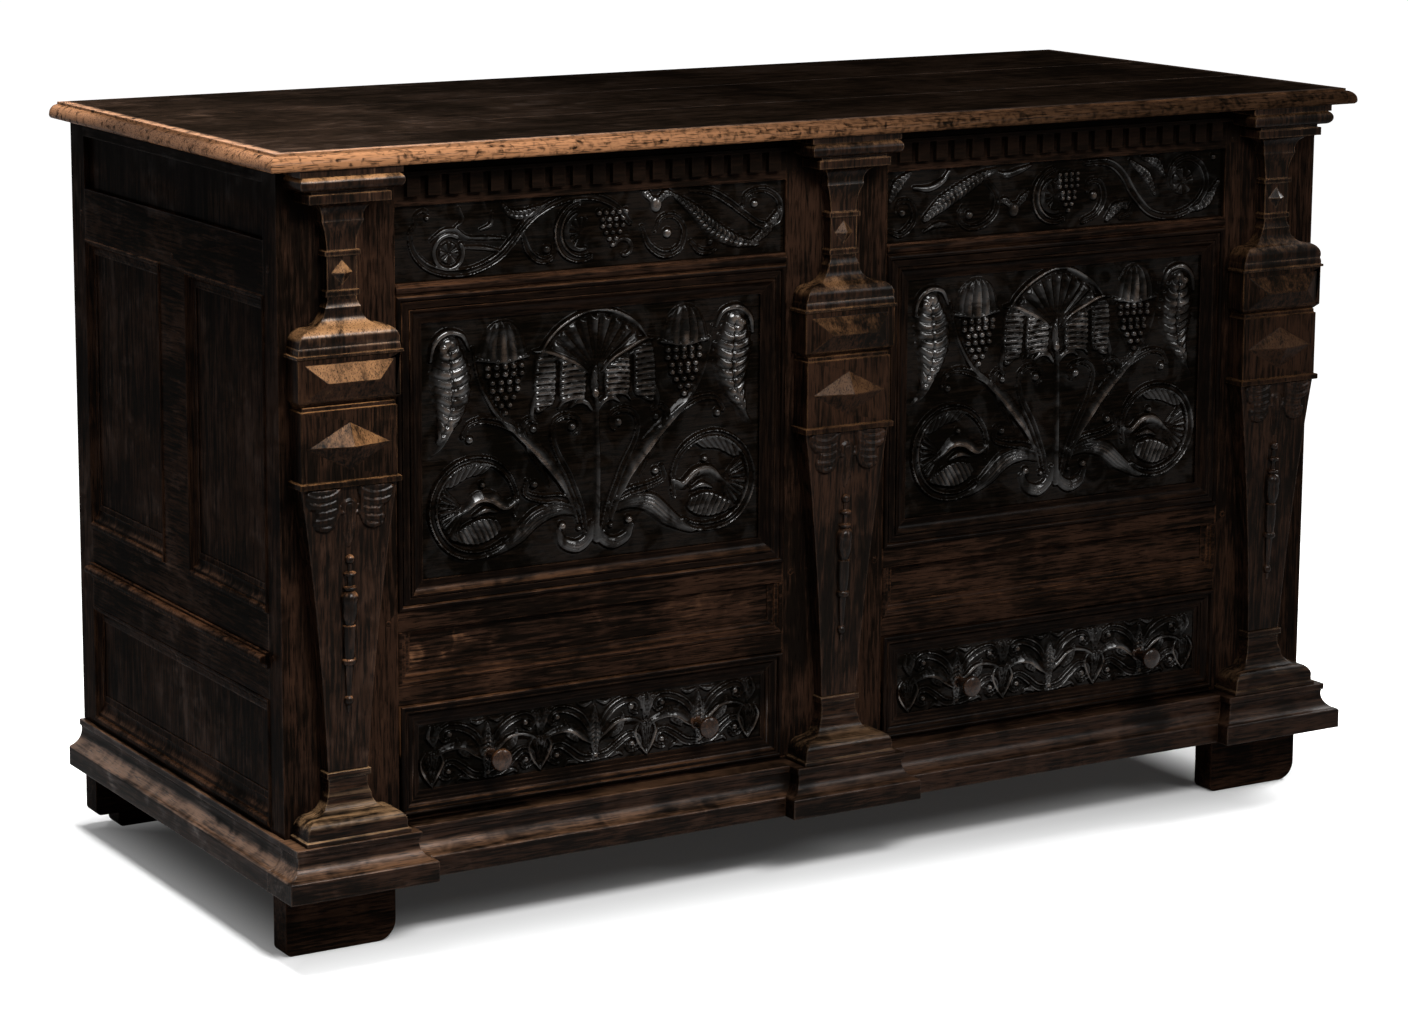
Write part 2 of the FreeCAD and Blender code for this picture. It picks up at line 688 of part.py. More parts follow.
def plinth():
    """The front plinth in five lengths, and the two that run back along the ends."""
    reach = break_half_w - plinth_lip
    breaks = [plinth_break(-half_w, pilaster_x[0] + reach), plinth_break(-reach, reach),
              plinth_break(pilaster_x[2] - reach, half_w)]
    inner = pilaster_x[0] + break_half_w
    runs = [extruded_x(plinth_rows(recess_d), inner - plinth_lip, -break_half_w + plinth_lip),
            extruded_x(plinth_rows(recess_d), break_half_w - plinth_lip, -inner + plinth_lip)]
    runs = [run.cut(breaks) for run in runs]
    side = extruded_x(plinth_rows(0), 0, carcass_d)
    return breaks + runs, side


def foot(width, thickness):
    """A block foot with one well-rounded and one eased corner at the floor."""
    rows = [(0, foot_h, 0), (0, foot_corner, 0), (foot_corner, 0, corner_share),
            (width - foot_round, 0, 0), (width, foot_round, corner_share), (width, foot_h, 0)]
    return extruded_y(rows, 0, thickness)


def rear_foot(width, thickness):
    """A rear foot whose outer shoulder stops short of the floor."""
    rows = [(0, foot_h, 0), (0, rear_pad_lift + foot_corner, 0),
            (foot_corner, rear_pad_lift, corner_share), (rear_pad_w, rear_pad_lift, 0),
            (rear_pad_w, foot_corner, 0), (rear_pad_w + foot_corner, 0, corner_share),
            (width - foot_round, 0, 0), (width, foot_round, corner_share), (width, foot_h, 0)]
    return extruded_y(rows, 0, thickness)


def feet():
    """Block feet under the four stiles."""
    front = foot(foot_w, foot_t)
    rear = moved(rear_foot(foot_w, foot_t), -half_w, back_y - foot_t, 0)
    return {"front_feet": [moved(front, -half_w, front_y, 0),
                           moved(front, half_w - foot_w, front_y, 0)],
            "rear_feet": [rear, mirrored(rear)]}


def end_openings():
    """The panels' openings in an end, as (x0, x1, z0, z1) in its own front view, rear stile first."""
    rear, front = rear_stile_t, carcass_d - front_t
    middle = (rear + front) / 2 + end_muntin_off
    split = [middle - end_muntin_w / 2, middle + end_muntin_w / 2]
    return {"frieze": (rear, front, end_frieze_z, end_frieze_top_z),
            "upper_rear": (rear, split[0], end_upper_z, end_upper_top_z),
            "upper_front": (split[1], front, end_upper_z, end_upper_top_z),
            "lower": (rear, front, end_bottom_top_z, end_lower_top_z)}


def end_frame():
    """Rails, muntin, panels and mouldings of one end, in its own front view."""
    openings = end_openings()
    x0, x1 = openings["lower"][:2]
    spans = [(end_frieze_top_z, lid_under_z), (end_upper_top_z, end_frieze_z),
             (end_lower_top_z, end_upper_z), (foot_h, end_bottom_top_z)]
    rails = [rail(x0, x1, z0, z1, end_t, end_tenon_set) for z0, z1 in spans]
    upright = muntin(openings["upper_rear"][1], openings["upper_front"][0], end_upper_z,
                     end_upper_top_z, end_t, end_tenon_set)
    panels = [panel(*opening, end_recess, end_panel_t) for opening in openings.values()]
    mouldings = []
    for name in ["upper_rear", "upper_front"]:
        mouldings += mitred_frame(*openings[name], end_mould_shares,
                                  [end_sill_mould_w, end_side_mould_w, end_side_mould_w],
                                  end_recess, end_mould_proud)
    mouldings += mitred_frame(*openings["lower"], end_mould_shares,
                              [end_lower_sill_w, end_side_mould_w, end_side_mould_w],
                              end_recess, end_mould_proud)
    band = [(band_proud * out, band_z + band_h * up, b) for up, out, b in band_shares]
    mouldings.append(extruded_x(band, x0, x1))
    return rails, upright, panels, mouldings


def peg(x, z):
    """An oak peg driven in from the outer face, in a frame's front view."""
    pin = Part.makeCylinder(peg_r, peg_l + peg_proud, vec(x, -peg_proud, z), vec(0, 1, 0))
    return pin


def peg_hole(x, z):
    """The hole for a peg."""
    return Part.makeCylinder(peg_r + pin_gap, peg_l + pin_gap + overrun, vec(x, -overrun, z),
                             vec(0, 1, 0))


def end_peg_places():
    """Where the pegs of an end go: through the tenons of its two wide rails and of its muntin."""
    openings = end_openings()
    heights = [(end_upper_top_z + end_frieze_z) / 2, (end_lower_top_z + end_upper_z) / 2]
    rear, front = openings["lower"][:2]
    places = [(x, z) for z in heights for x in (rear - peg_inset, front + peg_inset)]
    middle = (openings["upper_rear"][1] + openings["upper_front"][0]) / 2
    return places + [(middle, end_upper_top_z + peg_inset)]


def front_peg_places():
    """Pegs of the front: through the tenons at both ends of the middle rails and the top rails."""
    heights = [(low_panel_top_z + main_z) / 2, frieze_top_z + peg_inset]
    edges = [side * (bay_mid + end * (bay_w / 2 + peg_inset)) for side in (-1, 1) for end in (-1, 1)]
    return [(x, z) for z in heights for x in edges]


def place_front(shape):
    """From the front view to the chest."""
    return moved(shape, 0, front_y, 0)


def place_left_end(shape):
    """From an end's own front view to the chest's left end."""
    return moved(turned(shape, vec(0, 0, 1), -90), -half_w, back_y, 0)


def place_back(shape):
    """From the back's own front view to the chest's back."""
    return moved(turned(shape, vec(0, 0, 1), 180), 0, back_y, 0)


def ends():
    """Both ends, their rear stiles and the plinth lengths beside them."""
    rails, upright, panels, mouldings = end_frame()
    tongues = rails + [upright] + panels
    frame = joined(rails, [upright] + panels) + joined([upright], panels)
    nodes, side = {}, [place_left_end(s) for s in frame]
    boards = [place_left_end(s) for s in panels]
    trims = [place_left_end(s) for s in mouldings]
    reach = [place_left_end(s) for s in tongues]
    for name, turn in zip(side_names, [lambda s: s, mirrored]):
        nodes["end_frame_" + name] = [turn(s) for s in side]
        nodes["end_panels_" + name] = [turn(s) for s in boards]
        nodes["end_mouldings_" + name] = [turn(s) for s in trims]
    return nodes, reach + [mirrored(s) for s in reach]


def back_frame():
    """The panelled back, in its own front view, with its two stiles left out."""
    x0, x1 = -half_w + rear_stile_w, half_w - rear_stile_w
    spans = [(foot_h, back_bottom_top_z), (back_mid_z, back_mid_top_z), (back_top_z, lid_under_z)]
    rails = [rail(x0, x1, z0, z1, back_t, back_tenon_set) for z0, z1 in spans]
    gaps = [(back_bottom_top_z, back_mid_z), (back_mid_top_z, back_top_z)]
    half = back_muntin_w / 2
    uprights = [muntin(-half, half, z0, z1, back_t, back_tenon_set) for z0, z1 in gaps]
    panels = []
    for z0, z1 in gaps:
        panels.append(panel(x0, -half, z0, z1, back_recess, back_panel_t))
        panels.append(panel(half, x1, z0, z1, back_recess, back_panel_t))
    return rails, uprights, panels


def rear_stiles():
    """The two rear corner posts."""
    left = slab(-half_w, -half_w + rear_stile_w, back_y - rear_stile_t, back_y, foot_h, lid_under_z)
    return [left, mirrored(left)]


def back():
    """Rails and muntins, and panels, of the back."""
    rails, uprights, panels = back_frame()
    frame = joined(rails, uprights + panels) + joined(uprights, panels)
    nodes = {"back_frame": [place_back(s) for s in frame],
             "back_panels": [place_back(s) for s in panels]}
    return nodes, [place_back(s) for s in rails + panels]


def well_floor():
    """Boards under the chest well, on a ledge along the front and one along the back."""
    x = half_w - end_t
    y0, y1 = front_y + front_t, back_y - back_t
    width = (y1 - y0) / floor_boards
    boards = [slab(-x, x, y0 + i * width, y0 + (i + 1) * width, floor_z, floor_z + floor_t)
              for i in range(floor_boards)]
    rear = [slab(-half_w, half_w, back_y - rear_stile_t, back_y, foot_h, lid_under_z).cut(
        slab(-half_w + rear_stile_w, half_w - rear_stile_w, back_y - rear_stile_t, back_y, 0,
             lid_under_z))]
    boards = [cut_all(board, rear) for board in boards]
    ledges = [slab(-x, x, y0, y0 + ledge_w, floor_z - ledge_h, floor_z),
              slab(-half_w + rear_stile_w, half_w - rear_stile_w, y1 - ledge_w, y1,
                   floor_z - ledge_h, floor_z)]
    return {"well_floor_boards": boards, "well_floor_ledges": ledges}


def runners():
    """A runner under, and a guide beside, each side of each drawer."""
    y0, y1 = front_y + front_t, back_y - back_t
    top = drawer_z - running_gap
    strips = []
    for mid in bay_x:
        for side in (-1, 1):
            edge = mid + side * bay_w / 2
            inner, outer = sorted([edge - side * runner_w, edge + side * guide_w])
            strips.append(slab(inner, outer, y0, y1, top - runner_h, top))
            inner, outer = sorted([edge, edge + side * guide_w])
            strips.append(slab(inner, outer, y0, y1, top, top + guide_h))
    return {"drawer_runners": strips}


def knob():
    """A turned knob that points to -Y from the Y = 0 plane, with its shank behind."""
    shank = [(0, -drawer_front_t, 0), (knob_shank_r, -drawer_front_t, 0), (knob_shank_r, 0, 0)]
    head = turned_rows(knob_shares, knob_l, knob_r)[1:]
    return turned(revolved(shank + head, 360), vec(1, 0, 0), 90)


def drawer(name, mid):
    """Front, box, mitred frame and knobs of one drawer."""
    x0, x1 = mid - bay_w / 2 + drawer_gap, mid + bay_w / 2 - drawer_gap
    face_y = front_y + main_recess
    inner_y = face_y + drawer_front_t
    rear_y = back_y - back_t - drawer_back_gap
    box_top = drawer_top_z - drawer_box_low
    board = slab(x0, x1, face_y, inner_y, drawer_z, drawer_top_z)
    bores, knobs = [], []
    for side in (-1, 1):
        x = mid + side * knob_spread / 2
        knobs.append(moved(knob(), x, face_y, knob_z))
        bores.append(Part.makeCylinder(knob_shank_r + pin_gap, drawer_front_t, vec(x, face_y, knob_z),
                                       vec(0, 1, 0)))
    sides = [slab(x0, x0 + drawer_side_t, inner_y, rear_y, drawer_z, box_top),
             slab(x1 - drawer_side_t, x1, inner_y, rear_y, drawer_z, box_top)]
    floor = slab(x0 + drawer_side_t - drawer_slot, x1 - drawer_side_t + drawer_slot,
                 inner_y - drawer_slot, rear_y, drawer_z + drawer_bottom_up,
                 drawer_z + drawer_bottom_up + drawer_bottom_t)
    tail = slab(x0 + drawer_side_t, x1 - drawer_side_t, rear_y - drawer_side_t, rear_y,
                drawer_z + drawer_bottom_up + drawer_bottom_t, box_top)
    frame = mitred_frame(x0, x1, drawer_z, drawer_top_z, drawer_mould_shares,
                         [drawer_mould_w, drawer_mould_w, drawer_mould_w], main_recess,
                         drawer_mould_proud)
    return {"drawer_" + name + "_front": [cut_all(board, bores + [floor])],
            "drawer_" + name + "_box": joined(sides, [floor]) + [tail, floor],
            "drawer_" + name + "_moulding": [place_front(s) for s in frame],
            "drawer_" + name + "_knobs": knobs}


def lid_side_rows(reach, back):
    """Half of the lid's section, from its back or middle at x = back to the moulded edge at reach."""
    top = lid_under_z + lid_t
    return [(back, lid_under_z, 0), (reach - lid_quirk, lid_under_z, 0),
            (reach, lid_under_z + lid_nose_h, nose_share),
            (reach - lid_thumb_w, top - lid_quirk, nose_share), (reach - lid_thumb_w, top, 0),
            (back, top, 0)]


def lid_boards(nail_holes):
    """Three planks edge to edge, moulded round the front and the ends."""
    front = extruded_x(lid_side_rows(-front_y + lid_overhang_front, -back_y),
                       -half_w - 2 * lid_overhang_end, half_w + 2 * lid_overhang_end)
    right = lid_side_rows(half_w + lid_overhang_end, 0)
    left = [(-x, z, -b) for x, z, b in right]
    span = front_y - lid_overhang_front - overrun, back_y
    ends_cut = extruded_y(right, *span).fuse(extruded_y(left, *span)).removeSplitter()
    whole = front.common(ends_cut)
    low = front_y - lid_overhang_front
    width = (back_y - low) / lid_planks
    x = half_w + 2 * lid_overhang_end
    planks = [whole.common(slab(-x, x, low + i * width, low + (i + 1) * width, lid_under_z - overrun,
                                lid_under_z + lid_t + overrun)) for i in range(lid_planks)]
    return [cut_all(plank, nail_holes) for plank in planks]


def lid_battens():
    """Three cleats across the underside of the lid, inside the well."""
    x = half_w - end_t - batten_inset - batten_w / 2
    y0, y1 = front_y + front_t + batten_set, back_y - rear_stile_t - batten_set
    return [slab(c - batten_w / 2, c + batten_w / 2, y0, y1, lid_under_z - batten_t, lid_under_z)
            for c in (-x, 0, x)]


def knuckle(x0, x1, bore_r):
    """One knuckle of the barrel with its bore."""
    solid = Part.makeCylinder(barrel_r, x1 - x0, vec(x0, axis_y, axis_z), vec(1, 0, 0))
    bore = Part.makeCylinder(bore_r, x1 - x0, vec(x0, axis_y, axis_z), vec(1, 0, 0))
    return solid, bore


def nail(x, y, z, direction):
    """A hand-made nail: a low faceted head outside the point, and a shank along the direction."""
    way = vec(*direction)
    start = vec(x, y, z)
    head = Part.makeCone(nail_head_r, nail_head_r / 2, nail_head_h, start, way.multiply(-1.0))
    return head.fuse(Part.makeCylinder(nail_shank_r, nail_shank_l, start, vec(*direction)))


def nail_hole(x, y, z, direction):
    """The hole for a nail's shank."""
    return Part.makeCylinder(nail_shank_r + pin_gap, nail_shank_l + pin_gap, vec(x, y, z),
                             vec(*direction))


def back_leaf():
    """The leaf nailed to the chest's back, with the barrel's two outer knuckles."""
    half = middle_knuckle_l / 2 + knuckle_gap
    reach = half + end_knuckle_l
    plate = slab(-reach, reach, back_y, back_y + hinge_t, axis_z - back_leaf_h, axis_z)
    slot = slab(-half, half, back_y - overrun, axis_y + overrun, axis_z - barrel_r - knuckle_gap,
                axis_z + overrun)
    left, left_bore = knuckle(-reach, -half, pin_r + pin_gap)
    right, right_bore = knuckle(half, reach, pin_r + pin_gap)
    return plate.cut(slot).fuse([left, right]).cut([left_bore, right_bore])


def strap():
    """The strap under the lid: a pointed bar, and a tongue that runs back to the middle knuckle."""
    half = middle_knuckle_l / 2
    end = strap_y - strap_l
    outline = [(-strap_w / 2, strap_y, 0), (-strap_w / 2, end, 0), (0, end - strap_point_l, 0),
               (strap_w / 2, end, 0), (strap_w / 2, strap_y, 0)]
    bar = moved(outline_face(outline), 0, 0, lid_under_z - hinge_t).extrude(vec(0, 0, hinge_t))
    tongue = slab(-half, half, strap_y, axis_y, lid_under_z - hinge_t, lid_under_z)
    barrel, bore = knuckle(-half, half, pin_r + pin_gap)
    return bar.fuse([tongue, barrel]).cut(bore).removeSplitter()


def pin():
    """The hinge pin, with a head at each end."""
    reach = middle_knuckle_l / 2 + knuckle_gap + end_knuckle_l
    start = vec(-reach - pin_gap, axis_y, axis_z)
    rod = Part.makeCylinder(pin_r, 2 * (reach + pin_gap), start, vec(1, 0, 0))
    heads = [Part.makeCylinder(pin_head_r, pin_head_h, vec(side * (reach + pin_gap), axis_y, axis_z),
                               vec(side, 0, 0)) for side in (-1, 1)]
    return rod.fuse(heads).removeSplitter()


def hinge_nails():
    """Places and ways of the nails that hold each back leaf and each strap."""
    drop = (back_leaf_h - 2 * nail_edge) / (nails_each - 1)
    step = (strap_l - 2 * nail_edge) / (nails_each - 1)
    back_places = [(0, back_y + hinge_t, axis_z - nail_edge - i * drop, (0, -1, 0))
                   for i in range(nails_each)]
    lid_places = [(0, strap_y - nail_edge - i * step, lid_under_z - hinge_t, (0, 0, 1))
                  for i in range(nails_each)]
    return back_places, lid_places


def hinges():
    """Two strap hinges: back leaves and pins on the chest, straps on the lid, and their nails."""
    back_places, lid_places = hinge_nails()
    leaf_holes = [nail_hole(*p) for p in back_places]
    strap_holes = [nail_hole(*p) for p in lid_places]
    pieces = {"hinge_back_leaves": [back_leaf().cut(leaf_holes)],
              "hinge_straps": [strap().cut(strap_holes)],
              "hinge_pins": [pin()],
              "hinge_back_nails": [nail(*p) for p in back_places],
              "hinge_strap_nails": [nail(*p) for p in lid_places]}
    nodes = {name: [moved(s, side * hinge_x, 0, 0) for side in (-1, 1) for s in solids]
             for name, solids in pieces.items()}
    spread = [[moved(hole, side * hinge_x, 0, 0) for side in (-1, 1) for hole in holes]
              for holes in (leaf_holes, strap_holes)]
    return nodes, spread[0], spread[1]


def tongue_notches():
    """The notches in the back's top rail that let the straps' tongues through."""
    half = middle_knuckle_l / 2 + running_gap
    low = lid_under_z - hinge_t - running_gap
    notch = slab(-half, half, back_y - back_t - overrun, back_y + overrun, low, lid_under_z + overrun)
    return [moved(notch, side * hinge_x, 0, 0) for side in (-1, 1)]


def build():
    """Every node of the chest, as {node: solids}."""
    nodes = {name: [place_front(s) for s in solids]
             for group in (front_frame(), panel_mouldings(), pilasters())
             for name, solids in group.items()}
    end_nodes, end_tongues = ends()
    back_nodes, back_tongues = back()
    hinge_nodes, leaf_holes, strap_holes = hinges()
    lengths, side = plinth()
    nodes.update(end_nodes)
    nodes.update(back_nodes)
    nodes["plinth_front"] = [place_front(s) for s in lengths]
    nodes["plinth_ends"] = [place_left_end(side), mirrored(place_left_end(side))]
    nodes.update(feet())
    nodes.update(well_floor())
    nodes.update(runners())
    for name, mid in zip(side_names, bay_x):
        nodes.update(drawer(name, mid))
    nodes["lid_boards"] = lid_boards(strap_holes)
    nodes["lid_battens"] = lid_battens()
    nodes.update(hinge_nodes)

    left_pegs = [place_left_end(peg(x, z)) for x, z in end_peg_places()]
    left_holes = [place_left_end(peg_hole(x, z)) for x, z in end_peg_places()]
    nodes["pegs"] = left_pegs + [mirrored(p) for p in left_pegs]
    nodes["pegs"] += [place_front(peg(x, z)) for x, z in front_peg_places()]
    holes = left_holes + [mirrored(h) for h in left_holes]
    holes += [place_front(peg_hole(x, z)) for x, z in front_peg_places()]

    rear = rear_stiles()
    cuts = end_tongues + back_tongues + holes
    nodes["rear_stile_left"] = [cut_all(rear[0], cuts)]
    nodes["rear_stile_right"] = [cut_all(rear[1], cuts)]
    for name in ["front_stile_left", "front_stile_right"]:
        nodes[name] = [cut_all(s, end_tongues + holes) for s in nodes[name]]
    for name in ["front_muntin", "bay_rails_left", "bay_rails_right", "end_frame_left",
                 "end_frame_right"]:
        nodes[name] = [cut_all(s, holes) for s in nodes[name]]
    nodes["back_frame"] = [cut_all(s, tongue_notches() + leaf_holes) for s in nodes["back_frame"]]
    return nodes


def main():
    os.makedirs("parts", exist_ok=True)
    for node, solids in build().items():
        write(node, solids)


main()
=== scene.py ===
"""The looks of a joined oak cassone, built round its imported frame.

Each sub-assembly is a class with its own sizes. It carves the pieces that the frame leaves plain and
gives every piece its finish. Lengths inside a carving are millimetres, as a carver would mark them, and
everything that reaches the scene is in metres.
"""
import json
import logging
import math
from dataclasses import dataclass, replace
from enum import Enum
from typing import Iterable, Sequence

import bmesh
import bpy
import numpy as np
from mathutils import Matrix, Vector

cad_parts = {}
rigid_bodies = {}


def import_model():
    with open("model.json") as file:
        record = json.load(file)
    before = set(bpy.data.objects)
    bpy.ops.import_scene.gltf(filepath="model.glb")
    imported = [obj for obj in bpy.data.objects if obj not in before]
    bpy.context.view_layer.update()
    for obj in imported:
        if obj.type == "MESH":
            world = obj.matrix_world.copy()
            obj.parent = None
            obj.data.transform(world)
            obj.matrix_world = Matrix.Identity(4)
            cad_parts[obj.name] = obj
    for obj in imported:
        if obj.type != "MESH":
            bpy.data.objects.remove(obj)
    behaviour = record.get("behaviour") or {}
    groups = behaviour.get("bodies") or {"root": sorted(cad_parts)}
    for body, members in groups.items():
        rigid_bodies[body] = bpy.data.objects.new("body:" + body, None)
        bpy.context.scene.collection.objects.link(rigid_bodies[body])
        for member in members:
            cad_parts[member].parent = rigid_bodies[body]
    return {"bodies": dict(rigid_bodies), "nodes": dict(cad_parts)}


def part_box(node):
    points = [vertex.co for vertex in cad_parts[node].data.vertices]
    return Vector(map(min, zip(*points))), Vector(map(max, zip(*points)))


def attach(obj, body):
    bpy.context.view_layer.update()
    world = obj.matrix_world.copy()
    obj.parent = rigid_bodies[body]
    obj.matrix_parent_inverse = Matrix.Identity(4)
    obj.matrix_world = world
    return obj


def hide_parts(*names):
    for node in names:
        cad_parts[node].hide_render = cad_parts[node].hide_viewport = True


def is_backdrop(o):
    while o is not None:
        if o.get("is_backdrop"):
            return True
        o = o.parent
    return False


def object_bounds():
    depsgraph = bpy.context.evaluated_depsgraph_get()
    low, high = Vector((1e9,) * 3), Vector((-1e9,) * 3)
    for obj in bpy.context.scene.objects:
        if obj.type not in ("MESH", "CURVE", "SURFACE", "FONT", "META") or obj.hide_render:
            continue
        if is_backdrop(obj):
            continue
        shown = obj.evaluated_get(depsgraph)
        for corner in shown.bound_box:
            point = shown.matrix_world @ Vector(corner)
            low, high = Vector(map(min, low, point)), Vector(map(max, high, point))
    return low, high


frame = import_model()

LOG = logging.getLogger("cassone")
MM = 0.001
ARRIS = math.radians(60)
SIDES = ("left", "right")
PILASTERS = ("left", "centre", "right")

Point = tuple[float, float]
Place = tuple[float, float, float]
Colour = tuple[float, float, float]


class Grain(Enum):
    """The way the fibres of a piece run."""

    X = 0
    Y = 1
    Z = 2


class Section(Enum):
    """The shape of a carved stroke, cut across."""

    ROUND = "round"
    BLADE = "blade"
    CHANNEL = "channel"
    FLUTED = "fluted"


# Shader sums


class Value:
    """One output of a node. Sums on it add the Math nodes that they need."""

    def __init__(self, tree: "Tree", socket: bpy.types.NodeSocket) -> None:
        """Keeps the socket and the tree that it belongs to."""
        self.tree = tree
        self.socket = socket

    def output(self, name: str) -> "Value":
        """Another output of the same node."""
        return Value(self.tree, self.socket.node.outputs[name])

    def math(self, operation: str, first: "Value | float", second: "Value | float" = 0.0) -> "Value":
        """A Math node.

        Args:
            operation: the node's operation.
            first: its first number.
            second: its second number, where it takes one.

        Returns:
            The node's result.
        """
        return self.tree.node("ShaderNodeMath", {"operation": operation}, {0: first, 1: second})

    def __add__(self, other: "Value | float") -> "Value":
        """self + other."""
        return self.math("ADD", self, other)

    __radd__ = __add__

    def __sub__(self, other: "Value | float") -> "Value":
        """self - other."""
        return self.math("SUBTRACT", self, other)

    def __rsub__(self, other: "Value | float") -> "Value":
        """other - self."""
        return self.math("SUBTRACT", other, self)

    def __mul__(self, other: "Value | float") -> "Value":
        """self * other."""
        return self.math("MULTIPLY", self, other)

    __rmul__ = __mul__

    def __lt__(self, other: "Value | float") -> "Value":
        """1 where self is under other, and 0 elsewhere."""
        return self.math("LESS_THAN", self, other)

    def __abs__(self) -> "Value":
        """The size of self without its sign."""
        return self.math("ABSOLUTE", self)

    def highest(self, other: "Value | float") -> "Value":
        """The larger of two numbers."""
        return self.math("MAXIMUM", self, other)

    def ramp(self, low: float, high: float) -> "Value":
        """Rises smoothly from 0 at low to 1 at high."""
        return self.tree.node("ShaderNodeMapRange", {"interpolation_type": "SMOOTHSTEP"},
                              {"Value": self, "From Min": low, "From Max": high})

    def lifted(self, least: float) -> "Value":
        """A mask that runs from least to 1 where self runs from 0 to 1."""
        return self * (1.0 - least) + least


class Tree:
    """The node tree of one material or of the world."""

    def __init__(self, owner: bpy.types.ID) -> None:
        """Empties a tree.

        Args:
            owner: the material or world that has it.
        """
        owner.use_nodes = True
        self.tree = owner.node_tree
        self.tree.nodes.clear()

    def node(self, kind: str, settings: dict[str, object] | None = None,
             inputs: dict[int | str, object] | None = None) -> Value:
        """Adds a node.

        Args:
            kind: the node's type.
            settings: its settings, which are set first.
            inputs: values or links for its sockets.

        Returns:
            The node's first output that is in use, or no socket where it has no output.
        """
        node = self.tree.nodes.new(kind)
        for name, value in (settings or {}).items():
            setattr(node, name, value)
        for name, value in (inputs or {}).items():
            if isinstance(value, Value):
                self.tree.links.new(value.socket, node.inputs[name])
            else:
                node.inputs[name].default_value = value
        used = [s for s in node.outputs if s.enabled] or [None]
        return Value(self, used[0])

    def mix(self, factor: Value | float, first: object, second: object) -> Value:
        """Blends two colours, from first at 0 to second at 1."""
        return self.node("ShaderNodeMix", {"data_type": "RGBA"}, {0: factor, 6: first, 7: second})

    def noise(self, place: Value, scale: float, detail: float, distortion: float = 0.0) -> Value:
        """Smooth noise over a place."""
        return self.node("ShaderNodeTexNoise", {}, {"Vector": place, "Scale": scale, "Detail": detail,
                                                    "Distortion": distortion})

    def at(self) -> Value:
        """The place on the piece, in its object's own frame."""
        return self.node("ShaderNodeTexCoord").output("Object")

    def parts(self, vector: Value) -> Value:
        """A vector taken apart into the outputs X, Y and Z."""
        return self.node("ShaderNodeSeparateXYZ", {}, {"Vector": vector})


def opaque(colour: Colour) -> tuple[float, float, float, float]:
    """A colour with full alpha."""
    return (*colour, 1.0)


# Finishes


@dataclass(frozen=True)
class MitredGrain:
    """Where the grain turns at the mitres of a rectangular frame. It lies across two axes."""

    first: Grain
    second: Grain
    middle: Point
    half: Point

    def crosswise(self, tree: Tree, place: Value) -> Value:
        """1 on the members that run along the second axis, and 0 on those along the first.

        Args:
            tree: the material's tree.
            place: the place on the piece.

        Returns:
            The mask.
        """
        parts = tree.parts(place)
        from_edge = []
        for grain, middle, half in zip((self.first, self.second), self.middle, self.half):
            from_edge.append(half - abs(parts.output(grain.name) - middle))
        return from_edge[0] < from_edge[1]


@dataclass(frozen=True)
class Rim:
    """The outer band of a board, where hands and skirts have rubbed it on the front and the ends."""

    half_l: float
    front: float
    width: float
    least: float = 0.2

    def mask(self, tree: Tree, place: Value) -> Value:
        """Up to 1 on the band, more on the left than on the right, partly as wear and partly as painted
        light from the left, and 0 on the rest of the board.

        Args:
            tree: the material's tree.
            place: the place on the piece.

        Returns:
            The mask.
        """
        parts = tree.parts(place)
        ends = abs(parts.output("X")).ramp(self.half_l - self.width, self.half_l - self.width / 2)
        front = (0.0 - parts.output("Y")).ramp(self.front - self.width, self.front - self.width / 2)
        # Painted light: the band fades from left to right, partly as wear and partly as light falling from
        # the left.
        leant_on_and_lit = (0.0 - parts.output("X")).ramp(-self.half_l / 2, self.half_l).lifted(self.least)
        return ends.highest(front) * leant_on_and_lit


@dataclass(frozen=True)
class Figure:
    """What is drawn over a piece of oak: fibres, streaks and pores along its grain, and tone and patches."""

    at: Value
    fibre: Value
    streak: Value
    pore: Value
    tone: Value
    patch: Value


